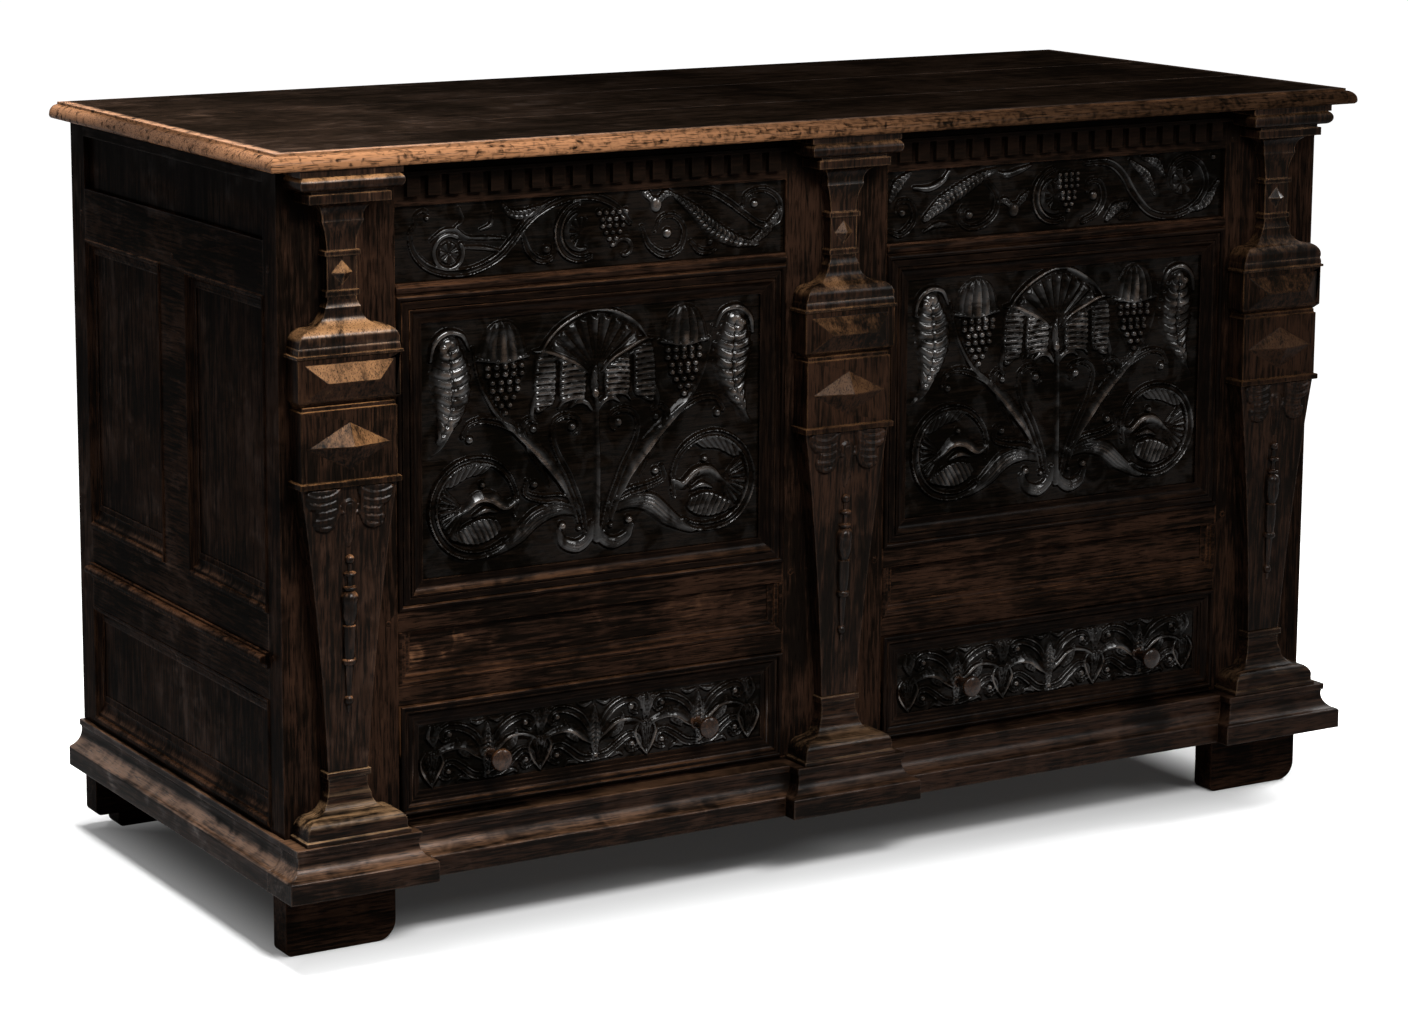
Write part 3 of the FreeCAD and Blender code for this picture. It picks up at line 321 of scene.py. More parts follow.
@dataclass(frozen=True)
class Oak:
    """Oak under old wax: fibres, pores, broad changes of tone, and edges that are worn through.

    deep and body are the colours of the wood, and worn is the one under its wax. It is also laid on as
    painted
    light: on the faces that look up, on the left and on carved crests. wear, ledges and patches say how much
    is worn off the arrises, off the faces that look up (partly wear, partly painted light) and in spots.
    polish is the gloss of the whole piece, and sheen that of what is worn. The band of painted shade under
    the lid's overhang is in metres along Z, and the band along -X makes the wear and the painted light
    stronger on the left. The scales are cells to a metre.
    """

    name: str
    deep: Colour
    body: Colour
    worn_and_lit: Colour
    wear: float = 0.5
    lit_worn_ledges: float = 0.5
    patches: float = 0.3
    polish: float = 0.05
    sheen: float = 0.6
    dull: float = 0.5
    specular: float = 0.0
    coat_dull: float = 0.24
    coat_ior: float = 1.22
    edge: float = 0.003
    fibre: float = 320.0
    pore: float = 800.0
    stretch: float = 0.06
    dents: float = 0.3
    relief: bool = False
    painted_shade_under_lid: float = 0.0
    painted_shade_band: Point = (0.862, 0.882)
    left_wear_and_light_band: Point = (-0.2, 0.75)
    chance_shift: float = 7.3
    tone_scale: float = 7.0
    patch_scale: float = 30.0
    blotch_scale: float = 110.0
    pore_dark: float = 0.35
    bump_strength: float = 0.4
    bump_depth: float = 0.0007

    def drawn_out(self, tree: Tree, grain: Grain) -> Value:
        """The place on the piece, drawn out along one axis.

        Args:
            tree: the material's tree.
            grain: the axis.

        Returns:
            The place as a vector.
        """
        scale = [1.0, 1.0, 1.0]
        scale[grain.value] = self.stretch
        return tree.node("ShaderNodeVectorMath", {"operation": "MULTIPLY"}, {0: tree.at(), 1: scale})

    def place(self, tree: Tree, grain: Grain, turn: MitredGrain | None) -> Value:
        """The place on the piece, drawn out along the grain.

        Args:
            tree: the material's tree.
            grain: the way of the fibres.
            turn: where a frame's members run the other way, if they do.

        Returns:
            A vector to draw noise from, moved by chance for each board.
        """
        along = self.drawn_out(tree, grain)
        if turn is not None:
            across = self.drawn_out(tree, turn.second)
            along = tree.node("ShaderNodeMix", {"data_type": "VECTOR"},
                              {0: turn.crosswise(tree, tree.at()), 4: along, 5: across})
        chance = tree.node("ShaderNodeNewGeometry").output("Random Per Island") * self.chance_shift
        return tree.node("ShaderNodeVectorMath", {"operation": "ADD"}, {0: along, 1: chance})

    def figure(self, tree: Tree, grain: Grain, turn: MitredGrain | None) -> Figure:
        """Draws the figure of the wood.

        Args:
            tree: the material's tree.
            grain: the way of the fibres.
            turn: where a frame's members run the other way, if they do.

        Returns:
            The figure.
        """
        at = tree.at()
        place = self.place(tree, grain, turn)
        return Figure(at=at,
                      fibre=tree.noise(place, self.fibre, 4.0, 0.4),
                      streak=tree.noise(place, self.fibre / 5, 3.0, 0.6),
                      pore=tree.noise(place, self.pore, 2.0).ramp(0.54, 0.64),
                      tone=tree.noise(at, self.tone_scale, 3.0, 0.5),
                      patch=tree.noise(at, self.patch_scale, 6.0, 1.0))

    def carving_wear(self, tree: Tree, figure: Figure) -> tuple[Value, Value]:
        """The wear and the wax of a carving, by the height of each point over its ground. Its crests are
        worn pale, which also paints highlights on them.

        Args:
            tree: the material's tree.
            figure: the figure of the wood.

        Returns:
            How far it is rubbed, with painted highlights on its crests, and the weight of its gloss.
        """
        height = tree.node("ShaderNodeAttribute", {"attribute_name": "height"}).output("Fac")
        # Painted highlights: the crests take the pale worn colour, partly as wear and partly in place of
        # glints.
        rub_and_painted_light = height.ramp(0.7, 1.05) * (figure.patch * 1.8 - 0.4) * self.wear
        waxed = (figure.patch * 0.6 + figure.tone * 0.4).ramp(0.45, 0.57).lifted(0.15)
        return rub_and_painted_light, height.ramp(0.4, 0.95).lifted(0.12) * waxed * self.polish

    def arris_wear(self, tree: Tree, figure: Figure, rounded: Value) -> Value:
        """The wear of the arrises, where a rounded normal turns away from the true one.

        Args:
            tree: the material's tree.
            figure: the figure of the wood.
            rounded: the normal of a piece whose arrises are rounded.

        Returns:
            How far they are rubbed.
        """
        true = tree.node("ShaderNodeNewGeometry").output("Normal")
        match = tree.node("ShaderNodeVectorMath", {"operation": "DOT_PRODUCT"}, {0: rounded, 1: true})
        edge = (1.0 - match.output("Value")).ramp(0.0, 0.14) * (figure.fibre + 0.5)
        return edge * (figure.patch * 1.6 - 0.2) * self.wear

    def ledge_wear_and_light(self, tree: Tree, figure: Figure) -> Value:
        """The faces that look up, partly worn and partly painted as lit from above.

        Args:
            tree: the material's tree.
            figure: the figure of the wood.

        Returns:
            How far they are rubbed.
        """
        normal = tree.node("ShaderNodeTexCoord").output("Normal")
        # Painted light: faces that look up take the worn colour, as if lit from above, mottled as wear.
        upward = tree.parts(normal).output("Z").ramp(0.15, 0.6)
        mottle = figure.tone + figure.patch * 0.6 + figure.streak * 0.8 + figure.fibre * 0.4 - 1.0
        return upward * mottle.ramp(0.0, 0.7)

    def board_wear(self, tree: Tree, figure: Figure, rounded: Value, rim: Rim | None) -> Value:
        """The wear of a plain piece, with painted light on its faces that look up and on its left.

        Args:
            tree: the material's tree.
            figure: the figure of the wood.
            rounded: the normal of a piece whose arrises are rounded.
            rim: the band that is rubbed through to the bare colour, if there is one.

        Returns:
            How far it is rubbed and painted as lit, on its arrises and upward faces, in spots and on its
            rim.
        """
        # Painted light from the left: upward faces and spots grow stronger towards -X, partly as wear and
        # partly as light falling there.
        left_wear_and_light = (0.0 - tree.parts(figure.at).output("X")).ramp(*self.left_wear_and_light_band).lifted(0.25)
        worn_and_lit_ledge = self.ledge_wear_and_light(tree, figure) * left_wear_and_light * self.lit_worn_ledges
        rub_and_painted_light = self.arris_wear(tree, figure, rounded).highest(worn_and_lit_ledge)
        spots = (figure.patch * 0.6 + figure.fibre * 0.4 + figure.tone * 0.5 - 0.25).ramp(0.5, 0.8)
        rub_and_painted_light = rub_and_painted_light.highest(spots * left_wear_and_light * self.patches)
        if rim is not None:
            blotch = tree.noise(figure.at, self.blotch_scale, 6.0, 0.6)
            mottle = (blotch * 0.6 + figure.fibre * 0.25 + figure.patch * 0.15).ramp(0.31, 0.55)
            rub_and_painted_light = rub_and_painted_light.highest(rim.mask(tree, figure.at) * mottle)
        return rub_and_painted_light

    def colour(self, tree: Tree, figure: Figure, rub_and_painted_light: Value) -> Value:
        """The colour of the wood.

        Args:
            tree: the material's tree.
            figure: the figure of the wood.
            rub_and_painted_light: how far it is rubbed, painted light included.

        Returns:
            Deep to body with the figure, bare and partly painted as lit where it is rubbed, dark in the
            pores, and darker as painted shade under the lid's overhang.
        """
        shade = figure.fibre * 0.55 + figure.streak * 0.25 + figure.patch * 0.2 + (figure.tone - 0.5) * 0.45
        colour = tree.mix(shade.ramp(0.41, 0.61), opaque(self.deep), opaque(self.body))
        colour = tree.mix(rub_and_painted_light.ramp(0.02, 0.9), colour, opaque(self.worn_and_lit))
        dark = tuple(self.pore_dark * part for part in self.deep)
        colour = tree.mix(figure.pore * 0.75, colour, opaque(dark))
        # Painted shade: pieces under the lid's overhang darken towards the deep colour, where the lid's
        # shade falls.
        if self.painted_shade_under_lid:
            painted_shade = tree.parts(figure.at).output("Z").ramp(*self.painted_shade_band) * self.painted_shade_under_lid
            colour = tree.mix(painted_shade, colour, opaque(self.deep))
        return colour

    def material(self, grain: Grain, turn: MitredGrain | None = None,
                 rim: Rim | None = None) -> bpy.types.Material:
        """The finish as a material.

        Args:
            grain: the way of the fibres.
            turn: where a frame's members run the other way, if they do.
            rim: the band that is rubbed through to the bare colour, if there is one.

        Returns:
            A new material.
        """
        made = bpy.data.materials.new(f"{self.name}_{grain.name.lower()}")
        tree = Tree(made)
        figure = self.figure(tree, grain, turn)
        bump: dict[int | str, object] = {"Strength": self.bump_strength, "Distance": self.bump_depth}
        if self.relief:
            rub_and_painted_light, gloss = self.carving_wear(tree, figure)
        else:
            rounded = tree.node("ShaderNodeBevel", {"samples": 4}, {"Radius": self.edge})
            bump["Normal"] = rounded
            rub_and_painted_light = self.board_wear(tree, figure, rounded, rim)
            gloss = self.polish * (0.5 + figure.streak) + rub_and_painted_light * self.sheen
        bump["Height"] = (figure.fibre * 0.4 + figure.streak * 0.4 - figure.pore * 0.5
                          + figure.patch * self.dents)
        surface = tree.node("ShaderNodeBsdfPrincipled", {}, {
            "Base Color": self.colour(tree, figure, rub_and_painted_light),
            "Roughness": self.dull + (figure.fibre - 0.5) * 0.25 + figure.pore * 0.12 - rub_and_painted_light * 0.08,
            "Normal": tree.node("ShaderNodeBump", {}, bump),
            "Specular IOR Level": self.specular,
            "Coat Weight": gloss,
            "Coat Roughness": self.coat_dull,
            "Coat IOR": self.coat_ior})
        tree.node("ShaderNodeOutputMaterial", {}, {"Surface": surface})
        return made


@dataclass(frozen=True)
class Iron:
    """Hand-forged iron, blackened and rusted a little."""

    name: str = "forged_iron"
    scale: Colour = (0.025, 0.023, 0.022)
    rust: Colour = (0.09, 0.035, 0.015)
    rust_scale: float = 160.0
    dent_scale: float = 260.0
    bump_strength: float = 0.5
    bump_depth: float = 0.0008

    def material(self) -> bpy.types.Material:
        """The finish as a material.

        Returns:
            A new material.
        """
        made = bpy.data.materials.new(self.name)
        tree = Tree(made)
        at = tree.at()
        rust = tree.noise(at, self.rust_scale, 5.0, 0.8).ramp(0.52, 0.7)
        dents = tree.noise(at, self.dent_scale, 2.0)
        bump = tree.node("ShaderNodeBump", {}, {
            "Height": dents + rust * 0.4, "Strength": self.bump_strength, "Distance": self.bump_depth})
        surface = tree.node("ShaderNodeBsdfPrincipled", {}, {
            "Base Color": tree.mix(rust, opaque(self.scale), opaque(self.rust)),
            "Metallic": 0.85 - rust * 0.75, "Roughness": 0.5 + rust * 0.3, "Normal": bump})
        tree.node("ShaderNodeOutputMaterial", {}, {"Surface": surface})
        return made


# The carcass paints shade under the lid's overhang, and paints light on its upward faces and its left with
# worn colour.
CARCASS = Oak("carcass_oak", (0.0026, 0.0017, 0.0012), (0.015, 0.0073, 0.0044), (0.085, 0.036, 0.016),
              wear=0.5, lit_worn_ledges=0.5, patches=0.25, polish=0.03, sheen=0.3, painted_shade_under_lid=0.8)
PANEL = replace(CARCASS, name="panel_oak", body=(0.016, 0.0078, 0.0048), worn_and_lit=(0.1, 0.046, 0.022),
                patches=0.9)
PLINTH = replace(CARCASS, name="plinth_oak", worn_and_lit=(0.11, 0.055, 0.028), lit_worn_ledges=0.8, polish=0.08, sheen=0.9,
                 coat_ior=1.36, coat_dull=0.3)
MOULDING = Oak("moulding_oak", (0.0014, 0.0008, 0.0005), (0.005, 0.0025, 0.0015), (0.085, 0.038, 0.017),
               wear=0.25, lit_worn_ledges=0.65, patches=0.05, polish=0.06, sheen=0.8, coat_ior=1.25, edge=0.0025)
# The worn colours of the pilasters' pieces also paint light on their faces that look up.
PILASTER = Oak("pilaster_oak", (0.0028, 0.0018, 0.0012), (0.0155, 0.0074, 0.0043), (0.11, 0.048, 0.02),
               wear=0.45, lit_worn_ledges=0.9, patches=0.25, polish=0.08, sheen=0.8, coat_ior=1.36, coat_dull=0.26,
               dents=0.9)
CAPITAL = replace(PILASTER, name="capital_oak", worn_and_lit=(0.25, 0.125, 0.053), lit_worn_ledges=1.0, sheen=0.9)
BLOCKS = replace(PILASTER, name="block_oak", worn_and_lit=(0.18, 0.086, 0.034), lit_worn_ledges=1.0, sheen=0.08,
                 coat_ior=1.25)
TURNING = replace(PILASTER, name="turned_oak", worn_and_lit=(0.2, 0.09, 0.04), patches=0.5, polish=0.16,
                  coat_dull=0.22, edge=0.0015)
BASE = replace(PILASTER, name="base_oak", worn_and_lit=(0.2, 0.115, 0.056), lit_worn_ledges=0.9)
LID = Oak("lid_oak", (0.0026, 0.0017, 0.0011), (0.0095, 0.0054, 0.0033), (0.18, 0.084, 0.039),
          wear=0.5, lit_worn_ledges=0.03, patches=0.2, polish=0.0, sheen=0.2, dull=0.6, edge=0.006)
CARVED = Oak("carved_oak", (0.0009, 0.0006, 0.0003), (0.0036, 0.0022, 0.0014), (0.04, 0.027, 0.019),
             wear=1.0, polish=1.0, dull=0.55, relief=True, coat_dull=0.13, coat_ior=1.4, dents=0.5)
APRON = replace(PILASTER, name="apron_oak", lit_worn_ledges=0.5, edge=0.0015)
BARE = Oak("bare_oak", (0.07, 0.042, 0.024), (0.16, 0.1, 0.058), (0.2, 0.13, 0.08),
           wear=0.3, lit_worn_ledges=0.0, patches=0.2, polish=0.0, sheen=0.0, dull=0.7)
KNOB = Oak("knob_oak", (0.006, 0.0028, 0.0015), (0.02, 0.0085, 0.004), (0.1, 0.042, 0.016),
           wear=0.5, lit_worn_ledges=0.5, patches=0.3, polish=0.6, dull=0.4, coat_dull=0.15, coat_ior=1.3)


# Carving


def smooth_path(points: Sequence[Point], pieces: int = 8) -> np.ndarray:
    """A smooth line through marked points.

    Args:
        points: the marks, in order.
        pieces: how many straight pieces stand between two marks.

    Returns:
        The points of the line, one row each.
    """
    marks = np.asarray(points, float)
    if len(marks) < 3:
        return marks
    padded = np.vstack([2 * marks[0] - marks[1], marks, 2 * marks[-1] - marks[-2]])
    share = np.linspace(0, 1, pieces, endpoint=False)[:, None]
    rows = []
    for a, b, c, d in zip(padded, padded[1:], padded[2:], padded[3:]):
        rows.append(0.5 * (2 * b + (c - a) * share + (2 * a - 5 * b + 4 * c - d) * share ** 2
                           + (3 * b - a - 3 * c + d) * share ** 3))
    return np.vstack(rows + [marks[-1:]])


def spiral(middle: Point, start_r: float, end_r: float, start: float, turn: float,
           count: int = 24) -> list[Point]:
    """Points that wind in to, or out from, a middle.

    Args:
        middle: the point wound about.
        start_r: the first radius.
        end_r: the last radius.
        start: the first angle in degrees, from +X towards +Z.
        turn: how far it turns in degrees, positive towards +Z.
        count: how many points it has.

    Returns:
        The points.
    """
    rows = []
    for i in range(count + 1):
        share = i / count
        angle = math.radians(start + turn * share)
        radius = start_r + (end_r - start_r) * share
        rows.append((middle[0] + radius * math.cos(angle), middle[1] + radius * math.sin(angle)))
    return rows


def soft_noise(shape: tuple[int, int], cell: float, seed: int) -> np.ndarray:
    """Smooth noise from -1 to 1 over a grid.

    Args:
        shape: the grid's rows and columns.
        cell: grid steps between two random values.
        seed: the draw's seed.

    Returns:
        The grid of noise.
    """
    rows, columns = (int(n / cell) + 3 for n in shape)
    draw = np.random.default_rng(seed).uniform(-1, 1, (rows, columns))
    z, x = np.arange(shape[0]) / cell, np.arange(shape[1]) / cell
    i, j = z.astype(int), x.astype(int)
    u, v = (z - i)[:, None], (x - j)[None, :]
    u, v = u * u * (3 - 2 * u), v * v * (3 - 2 * v)
    near, far = draw[i][:, j], draw[i][:, j + 1]
    low = near * (1 - v) + far * v
    near, far = draw[i + 1][:, j], draw[i + 1][:, j + 1]
    return low * (1 - u) + (near * (1 - v) + far * v) * u


class Carving:
    """A carved face in millimetres: heights over a rectangle, raised stroke by stroke.

    A window on the face has a margin for the hand's sway. The cells are how far apart the random values of
    the sway, of the tool's marks and of the finer waves between them stand.
    """

    margin: float = 3.0
    sway_cell: float = 40.0
    mark_cell: float = 5.0
    wave_cell: float = 2.2

    def __init__(self, half_w: float, half_h: float, step: float, seed: int, sway: float = 1.2) -> None:
        """Lays out a flat ground.

        Args:
            half_w: half the field's width.
            half_h: half its height.
            step: the distance between two points of the mesh.
            seed: the seed of the hand's unevenness.
            sway: how far the hand strays from the marks.
        """
        self.xs = np.linspace(-half_w, half_w, int(2 * half_w / step) + 1)
        self.zs = np.linspace(-half_h, half_h, int(2 * half_h / step) + 1)
        shape = (len(self.zs), len(self.xs))
        self.step = step
        self.seed = seed
        self.x = self.xs[None, :] + sway * soft_noise(shape, self.sway_cell / step, seed)
        self.z = self.zs[:, None] + sway * soft_noise(shape, self.sway_cell / step, seed + 1)
        self.height = np.zeros(shape)

    def window(self, low: Point, high: Point) -> tuple[slice, slice]:
        """The rows and columns of the grid inside a box.

        Args:
            low: the box's least X and Z.
            high: its greatest X and Z.

        Returns:
            The rows and the columns.
        """
        j = np.searchsorted(self.xs, [low[0] - self.margin, high[0] + self.margin])
        i = np.searchsorted(self.zs, [low[1] - self.margin, high[1] + self.margin])
        return slice(*i), slice(*j)

    def follow(self, path: np.ndarray, reach: float) -> tuple[tuple[slice, slice], np.ndarray, np.ndarray]:
        """Where the grid lies beside a path.

        Args:
            path: the points of the path.
            reach: how far to each side to look.

        Returns:
            The window, the distance from the path with its side as its sign, and the length along it.
        """
        where = self.window(path.min(0) - reach, path.max(0) + reach)
        x, z = self.x[where], self.z[where]
        best = np.full(x.shape, 1e9)
        side, along = np.zeros(x.shape), np.zeros(x.shape)
        passed = 0.0
        for (ax, az), (bx, bz) in zip(path, path[1:]):
            dx, dz = bx - ax, bz - az
            length = math.hypot(dx, dz)
            if length < 1e-6:
                continue
            share = np.clip(((x - ax) * dx + (z - az) * dz) / length ** 2, 0, 1)
            away = np.hypot(x - ax - share * dx, z - az - share * dz)
            nearer = away < best
            best = np.where(nearer, away, best)
            side = np.where(nearer, np.sign(dx * (z - az) - dz * (x - ax)), side)
            along = np.where(nearer, passed + share * length, along)
            passed += length
        return where, best * side, along / max(passed, 1e-6)

    def lift(self, where: tuple[slice, slice], height: np.ndarray) -> None:
        """Raises the face to a height where that is higher."""
        self.height[where] = np.maximum(self.height[where], height)

    def stroke(self, points: Sequence[Point], widths: Sequence[float], height: float,
               section: Section = Section.ROUND) -> None:
        """A raised stroke along a smooth path.

        Args:
            points: marks that the path goes through.
            widths: half its width, at even steps along it.
            height: its height over the ground.
            section: its shape, cut across.
        """
        path = smooth_path(points)
        where, away, along = self.follow(path, max(widths))
        half = np.interp(along, np.linspace(0, 1, len(widths)), widths)
        t = np.clip(away / np.maximum(half, 0.1), -1, 1)
        inside = np.abs(t) < 1
        dome = np.sqrt(1 - t * t)
        if section is Section.BLADE:
            shape = np.minimum(dome * 1.4, np.where(t < 0.4, 0.15 + 0.85 * (t + 1) / 1.4, 1.0))
        elif section is Section.CHANNEL:
            rim = np.sqrt(np.clip(1 - ((np.abs(t) - 0.68) / 0.32) ** 2, 0, 1))
            shape = np.maximum(rim, (0.3 + 0.35 * (t / 0.68) ** 2) * (np.abs(t) < 0.68))
        elif section is Section.FLUTED:
            shape = dome * (0.72 + 0.28 * np.cos(3 * math.pi * t) ** 2)
        else:
            shape = dome
        taper = np.interp(half, [0, max(widths)], [0.45, 1.0])
        self.lift(where, np.where(inside, height * shape * taper, 0))

    def leaf(self, points: Sequence[Point], widths: Sequence[float], height: float, pitch: float,
             arch: float = 0.5) -> None:
        """A leaf with arched ribs across it.

        Args:
            points: marks along its spine.
            widths: half its width, at even steps along the spine.
            height: its height over the ground.
            pitch: the distance between two ribs.
            arch: how many ribs an arch spans from the spine to the edge.
        """
        path = smooth_path(points)
        length = np.hypot(*np.diff(path, axis=0).T).sum()
        where, away, along = self.follow(path, max(widths) * 1.1)
        half = np.interp(along, np.linspace(0, 1, len(widths)), widths)
        t = np.clip(np.abs(away) / np.maximum(half, 0.1), 0, 1.1)
        phase = math.pi * (along * length / pitch + arch * t ** 2)
        t = np.clip(t * (1 + 0.06 * np.cos(2 * phase)), 0, 1)
        dome = np.sqrt(1 - t ** 2.4)
        ribs = 0.55 + 0.45 * np.abs(np.cos(phase)) ** 0.7
        spine = 1 - 0.3 * np.exp(-(away / 1.4) ** 2)
        self.lift(where, np.where(t < 1, height * dome * ribs * spine, 0))

    def patch(self, outline: Sequence[Point], middle: Point, pitch: float, height: float,
              rounding: float = 5.0) -> None:
        """A patch of leaf whose ribs are arcs about a point.

        Args:
            outline: marks round the patch.
            middle: the point that the ribs are struck from.
            pitch: the distance between two ribs.
            height: its height over the ground.
            rounding: how far in from its edge the patch is rounded.
        """
        path = smooth_path(list(outline) + list(outline[:1]), 4)
        where, away, _ = self.follow(path, rounding)
        x, z = self.x[where], self.z[where]
        inside = np.zeros(x.shape, bool)
        for (ax, az), (bx, bz) in zip(path, path[1:]):
            if az != bz:
                inside ^= ((az > z) != (bz > z)) & (x < (bx - ax) * (z - az) / (bz - az) + ax)
        share = np.clip(np.abs(away) / rounding, 0, 1)
        radius = np.hypot(x - middle[0], z - middle[1])
        ribs = 0.5 + 0.5 * np.abs(np.cos(math.pi * radius / pitch)) ** 0.7
        self.lift(where, np.where(inside, height * np.sqrt(share * (2 - share)) * ribs, 0))

    def ball(self, middle: Point, radius: float, height: float, tall: float = 1.0) -> None:
        """A round or oval berry.

        Args:
            middle: its middle.
            radius: its radius along X.
            height: its height over the ground.
            tall: its radius along Z, as a share of that along X.
        """
        reach = radius * max(1.0, tall)
        low = (middle[0] - reach, middle[1] - reach)
        where = self.window(low, (middle[0] + reach, middle[1] + reach))
        across = (self.x[where] - middle[0]) / radius
        above = (self.z[where] - middle[1]) / (radius * tall)
        away = across ** 2 + above ** 2
        self.lift(where, height * np.sqrt(np.clip(1 - away, 0, 1)))

    def volute(self, points: Sequence[Point], widths: Sequence[float], height: float, eye: Point,
               eye_r: float) -> None:
        """A channelled stem that ends in a curl with a round eye."""
        self.stroke(points, widths, height, Section.CHANNEL)
        self.ball(eye, eye_r, height * 1.15)

    def fan(self, middle: Point, radii: Point, start: float, end: float, flutes: int, height: float,
            core: float = 0.12) -> None:
        """Flutes that spread from a middle.

        Args:
            middle: the point that they spread from.
            radii: how far they reach along X and along Z.
            start: the first angle in degrees.
            end: the last angle.
            flutes: how many there are.
            height: the height of the ridges between them.
            core: the share of the radius that is left out at the middle.
        """
        rx, rz = radii
        where = self.window((middle[0] - rx, middle[1] - rz), (middle[0] + rx, middle[1] + rz))
        x, z = (self.x[where] - middle[0]) / rx, (self.z[where] - middle[1]) / rz
        radius = np.hypot(x, z)
        angle = (np.degrees(np.arctan2(z, x)) - start) % 360
        share = angle / (end - start)
        ridge = np.abs(np.cos(math.pi * flutes * share))
        tip = 1 - 0.07 * ridge
        inside = (share <= 1) & (radius < tip) & (radius > core)
        edge = np.sqrt(np.clip((tip - radius) / 0.08, 0, 1))
        shape = (0.25 + 0.75 * ridge ** 1.3) * (0.55 + 0.45 * np.clip(radius, 0, 1)) * np.clip(edge, 0, 1)
        self.lift(where, np.where(inside, height * shape, 0))

    def grapes(self, middle: Point, half_w: float, drop: float, radius: float, height: float) -> None:
        """Berries that hang in rows and narrow to a point.

        Args:
            middle: the middle of the bunch's upper edge.
            half_w: half its width there.
            drop: how far it hangs.
            radius: the radius of a berry.
            height: its height over the ground.
        """
        rows = int(drop / (radius * 1.75))
        for row in range(rows):
            z = middle[1] - (row + 0.5) * radius * 1.75
            half = half_w * (1 - (row / rows) ** 1.6) + radius * 0.4
            count = max(1, int(2 * half / (radius * 2.05)))
            for i in range(count):
                x = middle[0] + (i - (count - 1) / 2) * radius * 2.1
                self.ball((x, z), radius, height)

    def pod(self, middle: Point, half_w: float, tall: float, height: float, ribs: int = 7) -> None:
        """A ribbed cap, as a melon's upper half, above a bunch of berries.

        Args:
            middle: the middle of its lower edge.
            half_w: half its width there.
            tall: how far it rises.
            height: its height over the ground.
            ribs: how many ribs it has.
        """
        where = self.window((middle[0] - half_w, middle[1] - 2), (middle[0] + half_w, middle[1] + tall))
        x, z = (self.x[where] - middle[0]) / half_w, (self.z[where] - middle[1]) / tall
        wide = np.sqrt(np.clip(1 - z * z, 0.0004, 1))
        across = np.clip(x / wide, -1, 1)
        inside = (np.abs(x) < wide) & (z > -0.05) & (z < 1)
        ridge = np.abs(np.cos(ribs * np.arcsin(across)))
        shape = np.sqrt(1 - across ** 2 * 0.8) * (0.6 + 0.4 * ridge) * np.sqrt(np.clip(1 - z ** 3, 0, 1))
        self.lift(where, np.where(inside, height * shape, 0))

    def finish(self, tool: float = 0.25) -> None:
        """Softens the arrises as a gouge leaves them, and marks the ground.

        Args:
            tool: the depth of the tool's marks.
        """
        padded = np.pad(self.height, 1, mode="edge")
        near = (padded[:-2, 1:-1] + padded[2:, 1:-1] + padded[1:-1, :-2] + padded[1:-1, 2:]) / 4
        self.height = 0.55 * self.height + 0.45 * near
        marks = soft_noise(self.height.shape, self.mark_cell / self.step, self.seed + 2)
        waves = soft_noise(self.height.shape, self.wave_cell / self.step, self.seed + 3)
        self.height += tool * (0.6 * marks + 0.4 * waves)
        from_ends = np.minimum(self.xs - self.xs[0], self.xs[-1] - self.xs)
        from_sills = np.minimum(self.zs - self.zs[0], self.zs[-1] - self.zs)
        edge = np.minimum(from_sills[:, None], from_ends[None, :])
        self.height *= np.clip(edge / (2 * self.step), 0, 1)


def new_piece(name: str, mesh: bpy.types.Mesh) -> bpy.types.Object:
    """Puts a mesh in the scene, with smooth faces between its arrises.

    Args:
        name: the piece's name.
        mesh: its mesh.

    Returns:
        The piece.
    """
    mesh.shade_smooth()
    mesh.set_sharp_from_angle(angle=ARRIS)
    made = bpy.data.objects.new(name, mesh)
    bpy.context.scene.collection.objects.link(made)
    return made


def carved_board(name: str, carving: Carving, low: Vector, high: Vector, top: float) -> bpy.types.Object:
    """A closed board whose front face is carved about its middle.

    Args:
        name: the piece's name.
        carving: the face.
        low: the board's lowest corner.
        high: its highest corner.
        top: the carving's full height in millimetres, for the finish.

    Returns:
        The board.
    """
    xs = np.concatenate([[low.x], (low.x + high.x) / 2 + carving.xs * MM, [high.x]])
    zs = np.concatenate([[low.z], (low.z + high.z) / 2 + carving.zs * MM, [high.z]])
    height = np.pad(carving.height, 1)
    x, z = np.meshgrid(xs, zs)
    front = np.stack([x, low.y - height * MM, z], -1).reshape(-1, 3)
    rows, columns = height.shape
    index = np.arange(rows * columns).reshape(rows, columns)
    faces = np.stack([index[:-1, :-1], index[:-1, 1:], index[1:, 1:], index[1:, :-1]], -1).reshape(-1, 4)
    rim = np.concatenate([index[0, :-1], index[:-1, -1], index[-1, :0:-1], index[:0:-1, 0]])
    rear = front[rim].copy()
    rear[:, 1] = high.y
    behind = np.arange(len(rim)) + len(front)
    after, behind_after = np.roll(rim, -1), np.roll(behind, -1)
    walls = np.stack([after, rim, behind, behind_after], -1)
    mesh = bpy.data.meshes.new(name)
    mesh.from_pydata(np.vstack([front, rear]).tolist(), [],
                     faces.tolist() + walls.tolist() + [behind[::-1].tolist()])
    share = np.concatenate([(height / top).reshape(-1), np.zeros(len(rim))]).astype(np.float32)
    mesh.attributes.new("height", "FLOAT", "POINT").data.foreach_set("value", share)
    return new_piece(name, mesh)


